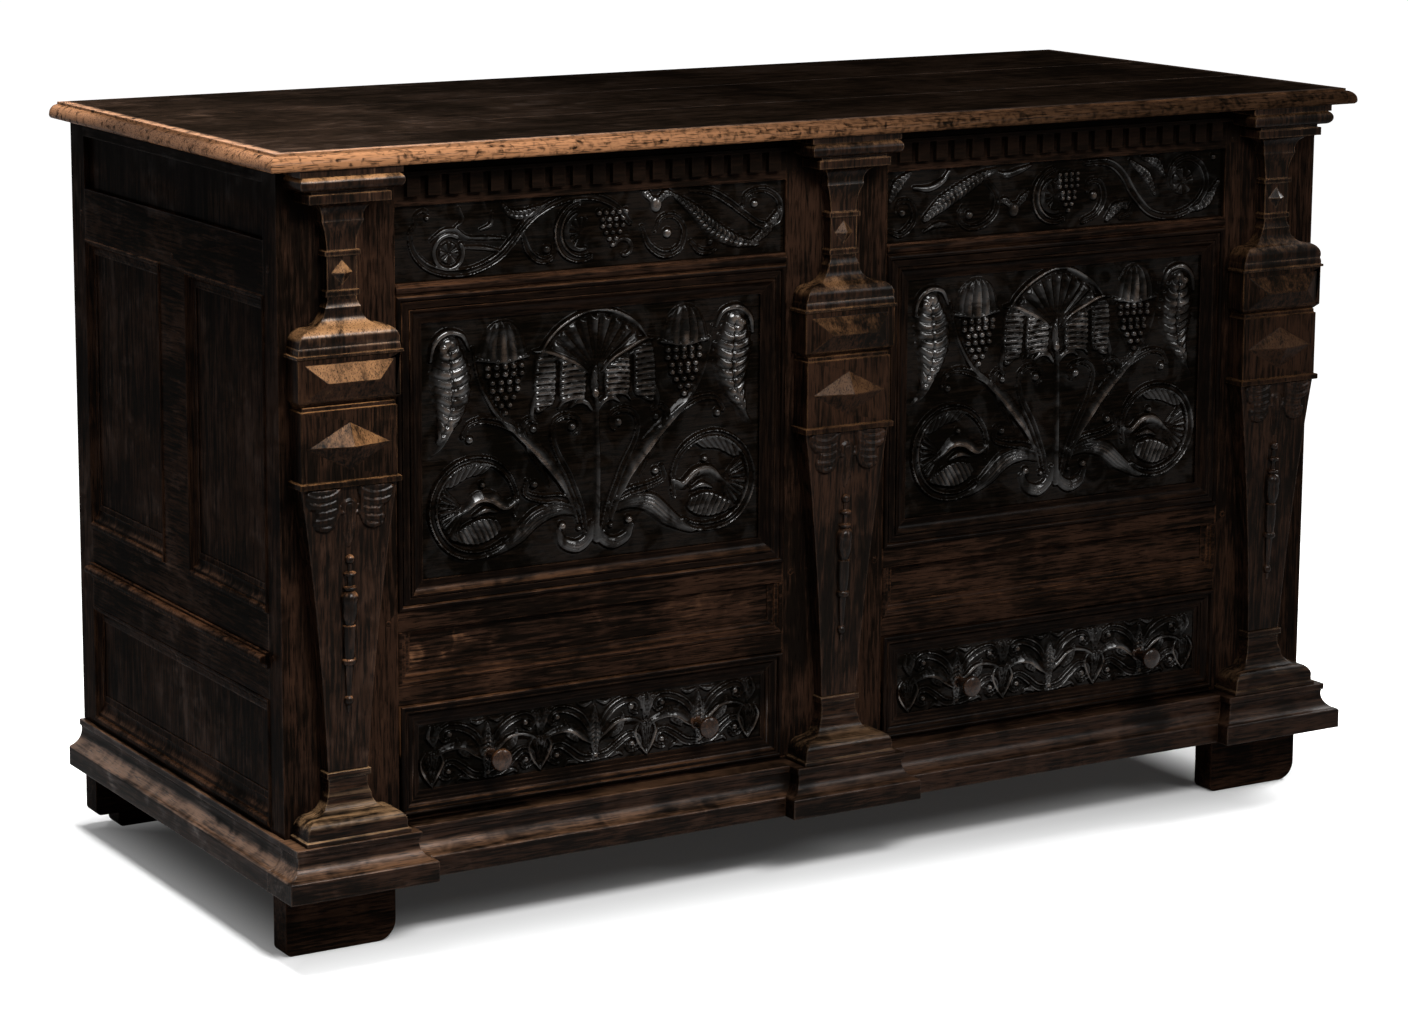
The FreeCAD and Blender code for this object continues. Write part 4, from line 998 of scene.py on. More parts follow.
def lay_carving(name: str, node: str, body: str, face: Carving, depth: float) -> None:
    """Lays a carved board in place of a plain one.

    Args:
        name: the carved board's name.
        node: the plain board.
        body: the body that it rides on.
        face: the carving.
        depth: the carving's full height in millimetres.
    """
    low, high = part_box(node)
    board = carved_board(name, face, low, high, depth)
    board.data.materials.append(CARVED.material(Grain.X))
    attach(board, body)
    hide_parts(node)
    LOG.info("%s: %d faces", name, len(board.data.polygons))


@dataclass(frozen=True)
class Lean:
    """The sloping front of a tapered shaft."""

    foot: Point
    head: Point

    @staticmethod
    def of(node: str) -> "Lean":
        """Finds the front of a node.

        Args:
            node: a shaft, whose front is one flat face.

        Returns:
            Its lean, from the foremost points at its foot and at its head.
        """
        low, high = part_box(node)
        corners = [v.co for v in frame["nodes"][node].data.vertices]
        ends = []
        for level in (low.z, high.z):
            near = [c for c in corners if abs(c.z - level) < MM]
            ends.append((min(c.y for c in near), level))
        return Lean(*ends)

    def y(self, z: float) -> float:
        """The depth of the face at a height."""
        share = (z - self.foot[1]) / (self.head[1] - self.foot[1])
        return self.foot[0] + (self.head[0] - self.foot[0]) * share


def applied_leaf(name: str, carving: Carving, middle: Vector, level: float, lean: Lean,
                 sunk: float) -> bpy.types.Object:
    """A thin carved leaf glued to a sloping face, cut to its own outline.

    Args:
        name: the piece's name.
        carving: its face.
        middle: the place whose X it is centred on.
        level: the height of the carving's middle.
        lean: the face that carries it.
        sunk: how far its plain ground lies under that face, in millimetres.

    Returns:
        The leaf.
    """
    height = carving.height
    kept = np.maximum.reduce([height[:-1, :-1], height[1:, :-1], height[:-1, 1:], height[1:, 1:]]) > sunk / 2
    mesh = bmesh.new()
    front: dict[tuple[int, int], bmesh.types.BMVert] = {}
    rear: dict[tuple[int, int], bmesh.types.BMVert] = {}
    for i, j in zip(*np.nonzero(kept)):
        around = [(i, j), (i, j + 1), (i + 1, j + 1), (i + 1, j)]
        for row, column in around:
            if (row, column) not in front:
                x = middle.x + carving.xs[column] * MM
                z = level + carving.zs[row] * MM
                front[row, column] = mesh.verts.new((x, lean.y(z) - (height[row, column] - sunk) * MM, z))
                rear[row, column] = mesh.verts.new((x, lean.y(z) + 2 * sunk * MM, z))
        mesh.faces.new([front[place] for place in around])
        mesh.faces.new([rear[place] for place in reversed(around)])
    places = {vert: place for place, vert in front.items()}
    for edge in [e for e in mesh.edges if e.is_boundary and e.verts[0] in places]:
        loop = edge.link_loops[0]
        first, second = loop.vert, loop.link_loop_next.vert
        mesh.faces.new([second, first, rear[places[first]], rear[places[second]]])
    data = bpy.data.meshes.new(name)
    mesh.to_mesh(data)
    mesh.free()
    return new_piece(name, data)


def both(points: Iterable[Point], side: int) -> list[Point]:
    """Marks drawn for the right half, on one side or the other."""
    return [(side * x, z) for x, z in points]


# Sub-assemblies


@dataclass
class MainPanels:
    """The two large carved panels: a palmette between grape pods, over scrolled roundels."""

    reach: tuple[float, float] = (236.0, 157.0)
    step: float = 1.2
    depth: float = 7.0
    seed: int = 11

    def draw(self, seed: int) -> Carving:
        """Carves one field. Its middle is the field's middle.

        Args:
            seed: the seed of the hand's unevenness.

        Returns:
            The carved field.
        """
        face = Carving(*self.reach, self.step, seed)
        d = self.depth
        face.stroke([(3, -128), (4, -60), (3, 20), (2, 60)], [5.5, 4.5, 4.0, 4.0], d * 0.8)
        face.stroke([(1, 40), (-2, 62), (2, 92)], [2.5, 6.5, 1.0], d, Section.FLUTED)
        face.fan((1, 76), (74, 72), 18, 162, 10, d * 0.8)
        face.stroke([(-72, 84), (-70, 106), (-50, 128), (-20, 144), (4, 148), (28, 143), (55, 127),
                     (72, 108)], [2.0, 4.5, 5.0, 4.5, 4.0, 4.5, 4.0, 2.0], d, Section.BLADE)
        for side in (-1, 1):
            self.half(face, side)
        face.ball((0, 50), 6, d * 1.1, 1.3)
        face.finish()
        return face

    def half(self, face: Carving, side: int) -> None:
        """The motifs that stand on both sides of the stem.

        Args:
            face: the field that is carved.
            side: 1 for the right half and -1 for the left.
        """
        d = self.depth
        self.wing(face, side)
        face.stroke(both([(4, 30), (12, 40), (24, 42), (34, 36)], side), [2.5, 4.5, 4.5, 2], d * 0.9)
        curl = [(12, -116), (19, -85), (34, -50), (50, -20), (58, 4), (55, 19), (43, 26), (31, 25)]
        curl += spiral((31, 12), 13, 9, 90, 150, 8)
        face.volute(both(curl, side), [4, 5, 5.5, 4.5, 4, 3], d * 0.8, (side * 31, 12), 6.5)
        blade = [(22, -104), (29, -80), (46, -50), (75, -15), (105, 12), (132, 38), (150, 68), (160, 98),
                 (163, 118)]
        widths = [3, 5.5, 8.5, 9, 7.5, 5.5, 4, 3, 2]
        # The path on the right runs the other way, so that the blade's sharp side mirrors too.
        face.stroke(both(blade[::-side], side), widths[::-side], d, Section.BLADE)
        branch = [(96, 4), (122, 22), (148, 31), (168, 28), (178, 14)]
        face.volute(both(branch, side), [3, 5, 5, 4, 3.5], d * 0.8, (side * 169, 10), 6)
        face.volute(both([(62, -56), (76, -30), (92, -6), (99, 16), (91, 26), (80, 22)], side),
                    [1.5, 2.5, 3.5, 4, 4, 3], d * 0.7, (side * 84, 14), 5.5)
        face.pod((side * 124, 101), 33, 46, d)
        face.stroke(both([(90, 103), (124, 98), (158, 103)], side), [2.5, 3, 2.5], d * 0.9)
        face.grapes((side * 122, 97), 28, 66, 5.2, d)
        self.pendant(face, side)
        self.roundel(face, side)
        self.foot(face, side)

    def wing(self, face: Carving, side: int) -> None:
        """A curling leaf of two ribbed lobes, with a rolled top edge.

        Args:
            face: the field that is carved.
            side: 1 for the right half and -1 for the left.
        """
        d = self.depth
        inner = [(12, 78), (28, 88), (46, 96), (50, 74), (48, 46), (34, 44), (16, 40), (11, 58)]
        face.patch(both(inner, side), (side * 26, -40), 6.8, d * 0.95)
        outer = [(52, 98), (66, 104), (79, 103), (84, 82), (84, 54), (80, 30), (66, 36), (54, 44), (52, 70)]
        face.patch(both(outer, side), (side * 70, -60), 6.8, d * 0.9)
        face.stroke(both([(9, 74), (24, 88), (46, 99), (66, 107), (82, 107)], side), [2, 4.5, 5, 5, 2],
                    d * 1.1, Section.BLADE)
        face.stroke(both([(10, 42), (26, 47), (42, 44), (50, 36)], side), [2, 3, 3, 1.5], d * 0.9)
        face.stroke(both([(82, 52), (86, 34), (82, 22)], side), [3, 4, 1.5], d * 0.8)

    def pendant(self, face: Carving, side: int) -> None:
        """The ribbed leaf that hangs at the field's outer edge.

        Args:
            face: the field that is carved.
            side: 1 for the right half and -1 for the left.
        """
        d = self.depth
        face.leaf(both([(194, 122), (193, 96), (191, 66), (196, 38), (208, 12)], side), [14, 27, 26, 17, 5],
                  d, 11.0, 0.8)
        face.stroke(both([(198, 26), (208, 6), (220, -6)], side), [9, 6, 1.5], d * 0.9, Section.BLADE)
        face.stroke(both([(219, 106), (214, 126), (198, 138), (178, 134), (168, 116)], side),
                    [3, 4.5, 5, 4, 2], d, Section.ROUND)
        face.ball((side * 202, 119), 8, d * 1.15, 0.8)

    def roundel(self, face: Carving, side: int) -> None:
        """A scroll that rolls into a ring, with leaves inside it.

        Args:
            face: the field that is carved.
            side: 1 for the right half and -1 for the left.
        """
        d = self.depth
        middle = (side * 160, -70)
        ring = spiral(middle, 60, 53, 232 if side > 0 else 308, side * 325, 36)
        face.stroke(ring, [5, 6.5, 6.5, 6, 5.5, 5, 3.5], d * 0.95, Section.CHANNEL)
        hub = (side * 176, -72)
        start = -75 if side > 0 else 135
        face.fan(hub, (37, 42), start, start + 120, 9, d * 0.85, 0.16)
        low = [(132, -88), (150, -84), (168, -88), (186, -98), (196, -106), (180, -114), (158, -118),
               (138, -112), (126, -100)]
        face.patch(both(low, side), (side * 250, -150), 6.6, d * 0.9, 4.0)
        high = [(136, -22), (160, -18), (186, -26), (202, -42), (192, -46), (170, -36), (148, -32)]
        face.patch(both(high, side), (side * 110, -70), 6.2, d * 0.75, 3.5)
        face.stroke(both([(108, -68), (122, -73), (140, -61), (158, -60), (174, -72), (186, -80)], side),
                    [4, 7.5, 8.5, 7.5, 5, 2], d * 1.15, Section.BLADE)
        face.stroke(both([(132, -80), (148, -76), (164, -82)], side), [2, 5, 2], d)
        face.ball((side * 151, -45), 5, d)

    def foot(self, face: Carving, side: int) -> None:
        """The leaves and curls at the foot of the stem.

        Args:
            face: the field that is carved.
            side: 1 for the right half and -1 for the left.
        """
        d = self.depth
        face.stroke(both([(26, -94), (50, -86), (78, -92), (104, -112), (132, -128), (150, -131)], side),
                    [4, 10, 13, 12, 7, 3], d, Section.FLUTED)
        upper = [(20, -88), (44, -74), (74, -70), (94, -62), (92, -48)]
        face.volute(both(upper, side), [3, 6, 6, 5, 4], d * 0.85, (side * 83, -52), 6)
        face.stroke(both([(3, -108), (8, -124), (24, -134), (42, -128), (50, -114)], side), [5, 8, 9, 8, 5],
                    d, Section.FLUTED)
        face.ball((side * 45, -107), 6, d * 1.15)
        face.ball((side * 22, -112), 4, d * 0.9)

    def build(self) -> None:
        """Carves both boards and lays them in place of the plain ones."""
        for number, side in enumerate(SIDES):
            face = self.draw(self.seed + 10 * number)
            lay_carving("main_carving_" + side, "main_panel_" + side, "root", face, self.depth)


@dataclass
class Friezes:
    """The two carved friezes: rolling scrolls with leaves and grapes on a hatched ground."""

    reach: tuple[float, float] = (264.0, 44.5)
    step: float = 1.0
    depth: float = 5.5
    seed: int = 51

    def left(self) -> Carving:
        """Carves the left frieze.

        Returns:
            The carved field.
        """
        face = Carving(*self.reach, self.step, self.seed, 0.8)
        d = self.depth
        stem = spiral((-222, 29), 5, 16, 60, 150, 8) + [(-243, 10), (-238, -10), (-222, -27), (-196, -36),
                                                       (-162, -36), (-130, -24), (-108, -4), (-88, 18),
                                                       (-60, 34), (-30, 41), (2, 39), (30, 26), (48, 6)]
        face.stroke(stem, [2.5, 3.5, 5, 5.5, 5.5, 5.5, 5.5, 5.5, 5.5, 5, 4], d * 0.85, Section.CHANNEL)
        face.ball((-221, 29), 4, d)
        face.stroke(spiral((-192, -13), 21, 18, 60, 330), [3.5, 3.5], d * 0.8)
        face.fan((-192, -13), (14, 14), 0, 359, 6, d * 0.8)
        face.stroke([(-216, 2), (-200, 11), (-184, 12), (-170, 3), (-150, 0), (-120, -2)],
                    [2, 4, 3.5, 3, 3.5, 2], d * 0.8, Section.BLADE)
        face.stroke([(-176, -8), (-150, -11), (-126, -16)], [2.5, 3.5, 2], d * 0.7)
        face.stroke([(-184, 15), (-174, 24), (-178, 38)], [2, 3, 2], d * 0.7)
        face.stroke([(-152, 10), (-138, 16), (-136, 30)], [2, 3.5, 2], d * 0.7)
        face.leaf([(-122, 38), (-110, 27), (-88, 26), (-62, 36)], [3, 7, 7, 2], d * 0.9, 6.0)
        face.volute([(-96, 4), (-88, -18), (-72, -30), (-56, -26), (-54, -12)], [3, 5, 5, 4, 3], d * 0.85,
                    (-64, -17), 6)
        self.rolled_leaf(face, (-16, -2))
        face.grapes((24, 24), 22, 50, 4.4, d)
        face.stroke(spiral((40, -24), 13, 8, 160, -260, 16), [2.5, 4, 3], d * 0.8)
        self.bud(face, (84, 26), 1)
        face.volute([(64, 0), (74, -22), (94, -34), (116, -28), (122, -6), (110, 10), (92, 9), (82, -6)],
                    [3, 5, 5.5, 5, 4.5, 4, 3], d * 0.9, (99, -10), 7)
        leaf = [(112, 34), (138, 14), (164, -10), (196, -26), (226, -32)]
        face.leaf(leaf, [4, 9, 12, 9, 3], d, 7.0, 0.8)
        stem = [(132, 40), (160, 36), (186, 22), (206, 8), (232, -8), (254, -4), (256, 20), (236, 34),
                (212, 30), (206, 16)]
        face.stroke(stem, [3, 5, 5.5, 5, 5, 5, 4.5, 4, 3.5], d * 0.9, Section.CHANNEL)
        face.leaf([(218, -30), (238, -16), (258, 8)], [4, 8, 4], d, 6.0)
        face.volute([(132, -22), (146, -34), (164, -34), (170, -24)], [3, 4.5, 4, 3], d * 0.8, (159, -24), 5)
        face.ball((222, 18), 6, d)
        self.ground(face)
        return face

    def right(self) -> Carving:
        """Carves the right frieze.

        Returns:
            The carved field.
        """
        face = Carving(*self.reach, self.step, self.seed + 5, 0.8)
        d = self.depth
        face.leaf([(-206, -18), (-180, 0), (-150, 16), (-120, 31), (-98, 38)], [5, 11, 11, 9, 3], d, 7.0,
                  0.9)
        face.volute([(-258, -30), (-240, -34), (-222, -16), (-228, 4), (-244, 6), (-250, -6)],
                    [3, 5, 5, 4, 3], d * 0.85, (-240, -8), 6)
        face.leaf([(-258, 8), (-246, 28), (-228, 41)], [4, 9, 3], d, 6.0)
        face.stroke([(-222, 22), (-200, 20), (-180, 28), (-170, 40)], [3, 5, 5, 3], d * 0.85)
        face.stroke([(-206, -34), (-184, -26), (-160, -30)], [2, 5, 2], d * 0.8, Section.BLADE)
        face.volute([(-112, 24), (-98, 6), (-100, -16), (-118, -30), (-140, -32), (-154, -20), (-148, -6)],
                    [4, 5.5, 6, 5, 4, 3], d * 0.85, (-138, -17), 6.5)
        self.bud(face, (-70, -14), -1)
        face.stroke([(-104, 38), (-84, 30), (-62, 34), (-44, 40)], [2, 5, 5, 2], d * 0.8, Section.FLUTED)
        self.rolled_leaf(face, (-4, -2))
        face.grapes((14, 30), 20, 58, 4.4, d)
        face.volute([(38, -36), (58, -28), (70, -8), (64, 12), (48, 14), (42, 2)], [4, 5, 5.5, 4.5, 3],
                    d * 0.9, (54, -4), 7)
        stem = [(40, 38), (76, 36), (100, 20), (120, -8), (146, -32), (184, -38), (218, -26), (236, -2),
                (228, 24), (206, 36), (184, 28), (176, 8), (188, -6)]
        face.stroke(stem, [4, 6, 6.5, 6, 5, 5.5, 5, 4.5, 3.5], d * 0.85, Section.CHANNEL)
        face.fan((198, 6), (19, 19), 0, 359, 7, d * 0.8)
        face.leaf([(76, -36), (92, -22), (108, -16)], [4, 9, 3], d, 6.0)
        face.leaf([(112, 36), (138, 16), (152, -8)], [3, 9, 3], d, 6.0)
        face.leaf([(212, -32), (236, -24), (256, 2)], [4, 8, 3], d, 6.0)
        face.leaf([(130, 40), (154, 32), (168, 14)], [2, 8, 2], d * 0.9, 6.0)
        face.volute([(98, -36), (112, -30), (116, -20)], [3, 4, 3], d * 0.8, (106, -22), 5)
        face.ball((246, 34), 5, d)
        self.ground(face)
        return face

    def ground(self, face: Carving) -> None:
        """Hatches what is left of the ground with the gouge.

        Args:
            face: the field that is carved.
        """
        rows = face.zs[:, None] + 0.35 * np.sin(face.x * 0.35)
        face.height = np.where(face.height > 0.3, face.height, 0.3 * np.abs(np.sin(rows * 1.9)))
        face.finish(0.2)

    def rolled_leaf(self, face: Carving, middle: Point) -> None:
        """A leaf that rolls round a middle, with a fluted inside.

        Args:
            face: the field that is carved.
            middle: the point that it rolls round.
        """
        x, z = middle
        d = self.depth
        face.stroke(spiral(middle, 36, 30, 100, 190, 16), [4, 6, 6, 4], d, Section.CHANNEL)
        face.stroke(spiral(middle, 24, 19, 110, 170, 14), [3, 5, 5, 3], d * 0.8)
        face.fan((x - 2, z), (20, 22), 60, 240, 6, d * 0.8)

    def bud(self, face: Carving, middle: Point, side: int) -> None:
        """A fat bud with two curled leaves.

        Args:
            face: the field that is carved.
            middle: the bud's middle.
            side: 1 where the lower leaf grows to the right and -1 where it grows to the left.
        """
        x, z = middle
        d = self.depth
        face.ball((x, z), 9, d * 1.1, 1.2)
        inner = [(x - 4 * side, z + 4), (x - 14 * side, z + 14), (x - 22 * side, z + 22)]
        outer = [(x + 4 * side, z + 4), (x + 14 * side, z + 12), (x + 26 * side, z + 10)]
        for curl in (inner, outer):
            face.leaf(curl, [4, 6, 2], d, 5.0)

    def build(self) -> None:
        """Carves both boards and lays them in place of the plain ones."""
        for side, face in zip(SIDES, (self.left(), self.right())):
            lay_carving("frieze_carving_" + side, "frieze_panel_" + side, "root", face, self.depth)


@dataclass
class Drawers:
    """The two carved drawer fronts: scrolls that part from upright leaves, with small fans between them."""

    reach: tuple[float, float] = (238.0, 40.5)
    step: float = 1.0
    depth: float = 5.0
    pitch: float = 146.0
    seed: int = 91

    def scroll(self, face: Carving, middle: float, side: int) -> None:
        """Half of the motif about one middle: two curls that part from a leaf.

        Args:
            face: the field that is carved.
            middle: X of the motif's middle.
            side: 1 for its right half and -1 for its left.
        """
        d = self.depth

        def mark(points: Sequence[Point]) -> list[Point]:
            """Marks drawn from the motif's middle, on one side or the other."""
            return [(middle + side * x, z) for x, z in points]

        low = mark([(0, -33), (18, -30), (34, -18), (48, -10), (60, -14), (61, -26), (51, -31), (45, -25)])
        face.volute(low, [5, 6, 5.5, 5, 4.5, 4, 3], d * 0.9, (middle + side * 52, -22), 5)
        rise = mark([(2, -14), (16, -4), (30, 6), (46, 8), (62, 4), (73, -4)])
        face.stroke(rise, [3, 5.5, 6, 5, 4, 2], d, Section.BLADE)
        high = mark([(8, 6), (18, 20), (34, 30), (52, 33), (62, 26), (58, 17), (50, 20)])
        face.volute(high, [4, 5.5, 5.5, 5, 4, 3], d * 0.9, (middle + side * 51, 24), 5)
        face.leaf(mark([(24, -8), (34, 0), (40, 16)]), [3, 6, 2], d * 0.9, 5.0, 1.0)
        face.leaf(mark([(64, 34), (70, 24), (70, 8)]), [3, 6, 2], d * 0.9, 5.0, 1.0)
        face.stroke(mark([(22, -36), (34, -32), (40, -36)]), [2, 4, 2], d * 0.8)
        face.stroke(mark([(4, 36), (14, 33), (22, 36)]), [2, 4, 2], d * 0.8)

    def draw(self, seed: int) -> Carving:
        """Carves one front.

        Args:
            seed: the seed of the hand's unevenness.

        Returns:
            The carved field.
        """
        d = self.depth
        face = Carving(*self.reach, self.step, seed, 1.4)
        for place in (-1, 0, 1):
            middle = place * self.pitch
            self.scroll(face, middle, -1)
            self.scroll(face, middle, 1)
            face.leaf([(middle, -28), (middle, -4), (middle, 30)], [4, 12, 2], d, 6.0, 1.2)
            face.ball((middle, -30), 5, d * 1.1)
        for place in (-1.5, -0.5, 0.5, 1.5):
            self.palmette(face, place * self.pitch)
        face.finish(0.35)
        return face

    def palmette(self, face: Carving, middle: float) -> None:
        """A small upright fan between two motifs.

        Args:
            face: the field that is carved.
            middle: X of the fan's middle.
        """
        d = self.depth
        face.fan((middle, -34), (15, 42), 45, 135, 5, d * 0.9)
        for side in (-1, 1):
            face.stroke([(middle, -37), (middle + side * 9, -24), (middle + side * 15, -8),
                         (middle + side * 9, 4)], [3, 4.5, 4.5, 2], d, Section.BLADE)
            face.stroke([(middle, 12), (middle + side * 6, 24), (middle + side * 3, 36)], [2, 4, 2], d * 0.9)

    def build(self) -> None:
        """Carves both fronts and lays them in place of the plain ones."""
        for number, side in enumerate(SIDES):
            face = self.draw(self.seed + 10 * number)
            lay_carving(f"drawer_{side}_carving", f"drawer_{side}_front", "drawer_" + side, face, self.depth)


@dataclass
class Aprons:
    """The scalloped apron that hangs under the string of each pilaster, carved as a thin applied leaf."""

    reach: tuple[float, float] = (58.0, 37.0)
    middle: float = 36.0
    step: float = 1.0
    depth: float = 5.0
    sunk: float = 0.7
    seed: int = 131

    def draw(self, seed: int) -> Carving:
        """Carves one apron.

        Args:
            seed: the seed of the hand's unevenness.

        Returns:
            The carved field.
        """
        d = self.depth
        face = Carving(*self.reach, self.step, seed, 1.2)
        face.stroke([(0, 12), (1, -4), (0, -20), (-1, -33)], [11, 9, 8, 3], d, Section.FLUTED)
        for side in (-1, 1):
            lobe = [(9, 36), (30, 37), (52, 36), (55, 24), (49, 12), (41, 8), (46, -2), (42, -12), (32, -16),
                    (22, -12), (19, -2), (10, 4), (14, 18), (13, 27)]
            face.patch(both(lobe, side), (side * 34, 60), 9.0, d, 4.0)
            face.stroke(both([(14, 3), (22, -9), (33, -12), (40, -4)], side), [2, 4, 4, 2], d * 1.05)
            face.stroke(both([(12, 30), (15, 20), (12, 8), (4, 4)], side), [2, 3, 3, 2], d)
        face.finish(0.3)
        return face

    def build(self) -> None:
        """Lays an apron on each shaft, just under its string."""
        for number, side in enumerate(PILASTERS):
            low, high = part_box(f"pilaster_{side}_shaft")
            lean = Lean.of(f"pilaster_{side}_shaft")
            face = self.draw(self.seed + 7 * number)
            level = high.z - self.middle * MM
            made = applied_leaf(f"pilaster_{side}_apron", face, (low + high) / 2, level, lean, self.sunk)
            made.data.materials.append(APRON.material(Grain.Z))
            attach(made, "root")
            LOG.info("apron %s: %d faces", side, len(made.data.polygons))


@dataclass
class Dressing:
    """The finish of every piece that keeps the frame's own shape. Lengths are metres, and angles degrees."""

    bevel: float = 0.0009
    crease: float = 35.0
    facet: float = 18.0
    weld: float = 0.00001
    flat: float = 0.2
    rim: float = 0.03

    def soften(self, node: str, crease: float) -> None:
        """Rounds the arrises of a piece a little.

        Args:
            node: the piece.
            crease: the least angle of an arris, in degrees. Flatter ones are left to the shading.
        """
        piece = frame["nodes"][node]
        weld = piece.modifiers.new("weld", "WELD")
        weld.merge_threshold = self.weld
        flat = piece.modifiers.new("flat", "DECIMATE")
        flat.decimate_type = "DISSOLVE"
        flat.angle_limit = math.radians(self.flat)
        bevel = piece.modifiers.new("bevel", "BEVEL")
        bevel.width = self.bevel
        bevel.segments = 2
        bevel.limit_method = "ANGLE"
        bevel.angle_limit = math.radians(crease)
        shade = piece.modifiers.new("shade", "WEIGHTED_NORMAL")
        shade.keep_sharp = False

    def paint(self, nodes: Iterable[str], finish: Oak, grain: Grain, turn: MitredGrain | None = None,
              rim: Rim | None = None) -> None:
        """Gives nodes one finish.

        Args:
            nodes: the nodes' names.
            finish: the finish.
            grain: the way of the fibres.
            turn: where a frame's members run the other way, if they do.
            rim: the band that is rubbed through to the bare colour, if there is one.
        """
        made = finish.material(grain, turn, rim)
        for node in nodes:
            frame["nodes"][node].material_slots[0].material = made
            faceted = node.endswith("_blocks") or node.endswith("_capital")
            self.soften(node, self.facet if faceted else self.crease)

    def mitred(self, node: str, finish: Oak, first: Grain) -> None:
        """Dresses a mitred frame whose members run along one level axis and up.

        Args:
            node: the frame's name.
            finish: its finish.
            first: the level axis.
        """
        low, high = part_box(node)
        middle, half = (low + high) / 2, (high - low) / 2
        turn = MitredGrain(first, Grain.Z, (middle[first.value], middle.z), (half[first.value], half.z))
        self.paint([node], finish, first, turn)

    def build(self) -> None:
        """Dresses every node."""
        nodes = frame["nodes"]
        bare = [name for name in sorted(nodes) if nodes[name].data.materials[0].name == "bare_oak"]
        self.paint(bare, BARE, Grain.X)
        self.paint(["front_stile_left", "front_stile_right", "front_muntin", "rear_stile_left",
                    "rear_stile_right"], CARCASS, Grain.Z)
        self.paint(["bay_rails_left", "bay_rails_right", "front_bottom_rail", "low_mouldings", "front_feet",
                    "rear_feet"], CARCASS, Grain.X)
        self.paint(["low_panels"], PANEL, Grain.X)
        self.paint(["plinth_front"], PLINTH, Grain.X)
        self.paint(["plinth_ends"], PLINTH, Grain.Y)
        self.paint(["pegs"], CARCASS, Grain.Y)
        for side in SIDES:
            self.mitred("main_moulding_" + side, MOULDING, Grain.X)
            self.mitred(f"drawer_{side}_moulding", MOULDING, Grain.X)
            self.paint(["end_panels_" + side], CARCASS, Grain.Z)
            self.paint(["end_mouldings_" + side], CARCASS, Grain.Z)
            self.paint(["end_frame_" + side], CARCASS, Grain.Y)
            self.paint([f"drawer_{side}_knobs"], KNOB, Grain.Y)
        for side in PILASTERS:
            self.paint([f"pilaster_{side}_capital"], CAPITAL, Grain.Z)
            self.paint([f"pilaster_{side}_shaft"], PILASTER, Grain.Z)
            self.paint([f"pilaster_{side}_blocks"], BLOCKS, Grain.Z)
        self.paint(["pilaster_turnings"], TURNING, Grain.Z)
        self.paint(["pilaster_bases"], BASE, Grain.X)
        low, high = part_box("lid_boards")
        self.paint(["lid_boards"], LID, Grain.X, rim=Rim(high.x, -low.y, self.rim))
        iron = Iron().material()
        for node in ("hinge_back_leaves", "hinge_straps", "hinge_pins", "hinge_back_nails",
                     "hinge_strap_nails"):
            nodes[node].material_slots[0].material = iron
        LOG.info("dressed %d nodes", len(nodes))


@dataclass(frozen=True)
class Lamp:
    """A softbox: its place and what it faces, its width and height, its watts and its grid's spread."""

    name: str
    place: Place
    target: Place
    size: Point
    power: float
    spread: float = 180.0

    def hang(self) -> None:
        """Hangs the lamp."""
        data = bpy.data.lights.new(self.name, "AREA")
        data.shape = "RECTANGLE"
        data.size, data.size_y = self.size
        data.energy = self.power
        data.spread = math.radians(self.spread)
        made = bpy.data.objects.new(self.name, data)
        turn = (Vector(self.target) - Vector(self.place)).to_track_quat("-Z", "Y").to_matrix()
        made.matrix_world = Matrix.Translation(self.place) @ turn.to_4x4()
        bpy.context.scene.collection.objects.link(made)


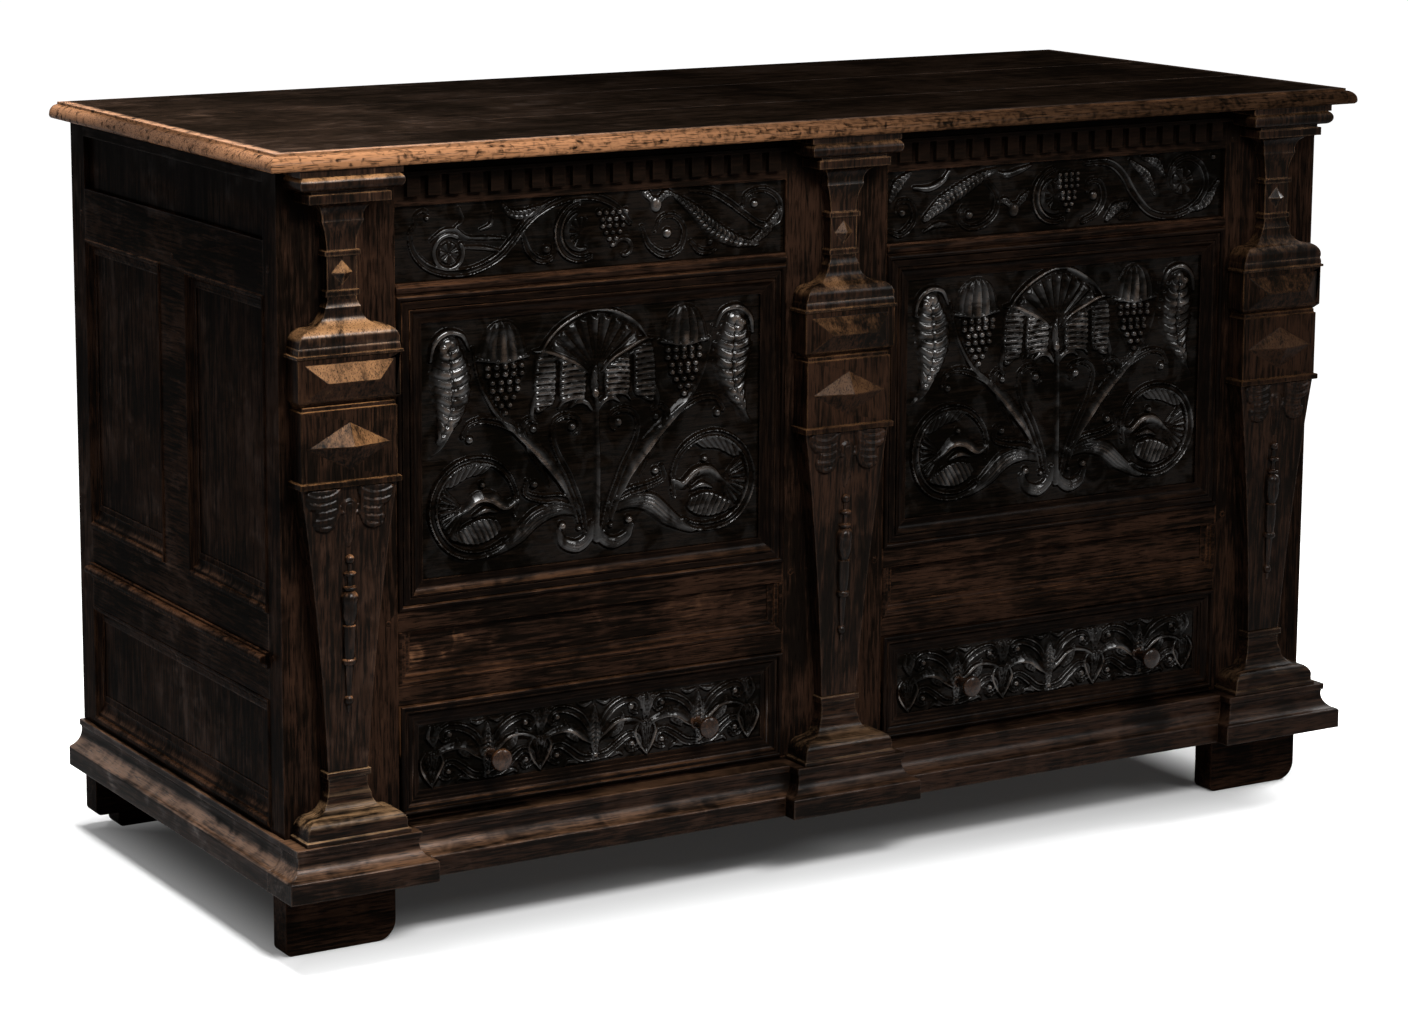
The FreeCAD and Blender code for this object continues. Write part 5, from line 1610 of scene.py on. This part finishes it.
@dataclass
class Studio:
    """Floor, world, lamps and camera. Angles are radians.

    ambient is the world's strength where it isn't seen. The floor's glow is lowered to
    glow_in_painted_shadow beside the chest, which paints a shadow there, and is full from clear metres away.
    """

    yaw: float = 0.5272
    pitch: float = -0.1743
    roll: float = 0.0024
    eye: Place = (-2.4802, -4.0432, 1.4192)
    focal_px: float = 3720.9
    image_px: float = 1408.0
    sensor: float = 36.0
    shift: Point = (0.0512, -0.10)
    clip: float = 100.0
    white: Colour = (1.0, 1.0, 1.0)
    ambient: float = 0.12
    clear: float = 0.22
    glow_in_painted_shadow: float = 0.02
    grey: Colour = (0.55, 0.55, 0.55)
    reach: float = 30.0
    lamps: tuple[Lamp, ...] = (
        Lamp("key", (-0.35, -1.9, 1.95), (-0.6, -0.3, 0.5), (1.2, 0.5), 28.0, 100.0),
        Lamp("fill", (1.4, -2.1, 1.5), (0.3, -0.3, 0.5), (0.7, 0.7), 6.0, 90.0),
        Lamp("end", (2.7, 0.2, 1.6), (0.78, 0.05, 0.45), (0.9, 0.9), 26.0, 80.0),
        Lamp("top", (-0.85, 0.1, 2.1), (-0.85, 0.0, 0.8), (0.5, 0.9), 14.0, 70.0),
        Lamp("back", (0.9, 3.0, 2.2), (0.0, 0.2, 0.5), (1.2, 0.6), 40.0))

    def camera(self) -> None:
        """The camera at the photograph's place."""
        data = bpy.data.cameras.new("camera")
        data.sensor_width = self.sensor
        data.lens = self.focal_px / self.image_px * self.sensor
        data.shift_x, data.shift_y = self.shift
        data.clip_end = self.clip
        made = bpy.data.objects.new("camera", data)
        level = math.cos(self.pitch)
        ahead = Vector((math.sin(self.yaw) * level, math.cos(self.yaw) * level, math.sin(self.pitch)))
        right = Vector((math.cos(self.yaw), -math.sin(self.yaw), 0.0))
        up = right.cross(ahead)
        across = right * math.cos(self.roll) + up * math.sin(self.roll)
        above = up * math.cos(self.roll) - right * math.sin(self.roll)
        turn = Matrix((across, above, -ahead)).transposed()
        made.matrix_world = Matrix.Translation(self.eye) @ turn.to_4x4()
        bpy.context.scene.collection.objects.link(made)
        bpy.context.scene.camera = made

    def seen(self, tree: Tree) -> Value:
        """1 for rays that look at the background, straight or in a gloss or through glass.

        Args:
            tree: the tree of the world or the floor.

        Returns:
            The mask.
        """
        path = tree.node("ShaderNodeLightPath")
        rays = path.output("Is Camera Ray").highest(path.output("Is Glossy Ray"))
        return rays.highest(path.output("Is Transmission Ray"))

    def world(self) -> None:
        """White where it is seen, and a soft fill elsewhere."""
        made = bpy.data.worlds.new("studio")
        bpy.context.scene.world = made
        tree = Tree(made)
        surface = tree.node("ShaderNodeBackground", {}, {
            "Color": opaque(self.white), "Strength": self.seen(tree).lifted(self.ambient)})
        tree.node("ShaderNodeOutputWorld", {}, {"Surface": surface})

    def floor(self) -> None:
        """A pale floor that is white where it is seen and keeps the shadow, with a painted shadow beside the
        chest where its glow is lowered.
        """
        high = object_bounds()[1]
        reach = self.reach
        mesh = bpy.data.meshes.new("floor")
        square = [(-reach, -reach, 0), (reach, -reach, 0), (reach, reach, 0), (-reach, reach, 0)]
        mesh.from_pydata(square, [], [(0, 1, 2, 3)])
        made = bpy.data.objects.new("floor", mesh)
        bpy.context.scene.collection.objects.link(made)
        paint = bpy.data.materials.new("floor")
        tree = Tree(paint)
        parts = tree.parts(tree.at())
        beside = (abs(parts.output("X")) - high.x).highest(abs(parts.output("Y")) - high.y)
        # Painted shadow: the floor's glow is dimmed near the chest and rises to full a little way out.
        far = beside.ramp(-self.clear / 2, self.clear)
        matt = tree.node("ShaderNodeBsdfDiffuse", {}, {"Color": opaque(self.grey)})
        glow = tree.node("ShaderNodeEmission", {}, {
            "Color": opaque(self.white), "Strength": self.seen(tree) * far.lifted(self.glow_in_painted_shadow)})
        surface = tree.node("ShaderNodeAddShader", {}, {0: matt, 1: glow})
        tree.node("ShaderNodeOutputMaterial", {}, {"Surface": surface})
        mesh.materials.append(paint)
        made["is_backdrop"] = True

    def build(self) -> None:
        """Sets the whole studio."""
        self.camera()
        self.world()
        self.floor()
        for lamp in self.lamps:
            lamp.hang()
        bpy.context.scene.view_settings.view_transform = "Standard"
        LOG.info("studio set")


def clear_startup() -> None:
    """Removes what stood in the scene before the frame was loaded."""
    kept = set(frame["nodes"].values()) | set(frame["bodies"].values())
    for thing in list(bpy.data.objects):
        if thing not in kept:
            bpy.data.objects.remove(thing)
    bpy.context.view_layer.update()


def corners() -> list[list[float]]:
    """The lowest and the highest corner of what is shown."""
    return [list(corner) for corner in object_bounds()]


def main() -> None:
    """Builds the pieces in order."""
    logging.basicConfig(level=logging.INFO, format="%(name)s %(message)s")
    clear_startup()
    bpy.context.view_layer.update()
    Dressing().build()
    MainPanels().build()
    Friezes().build()
    Drawers().build()
    Aprons().build()
    Studio().build()
    bpy.context.view_layer.update()


if __name__ == "__main__":
    main()
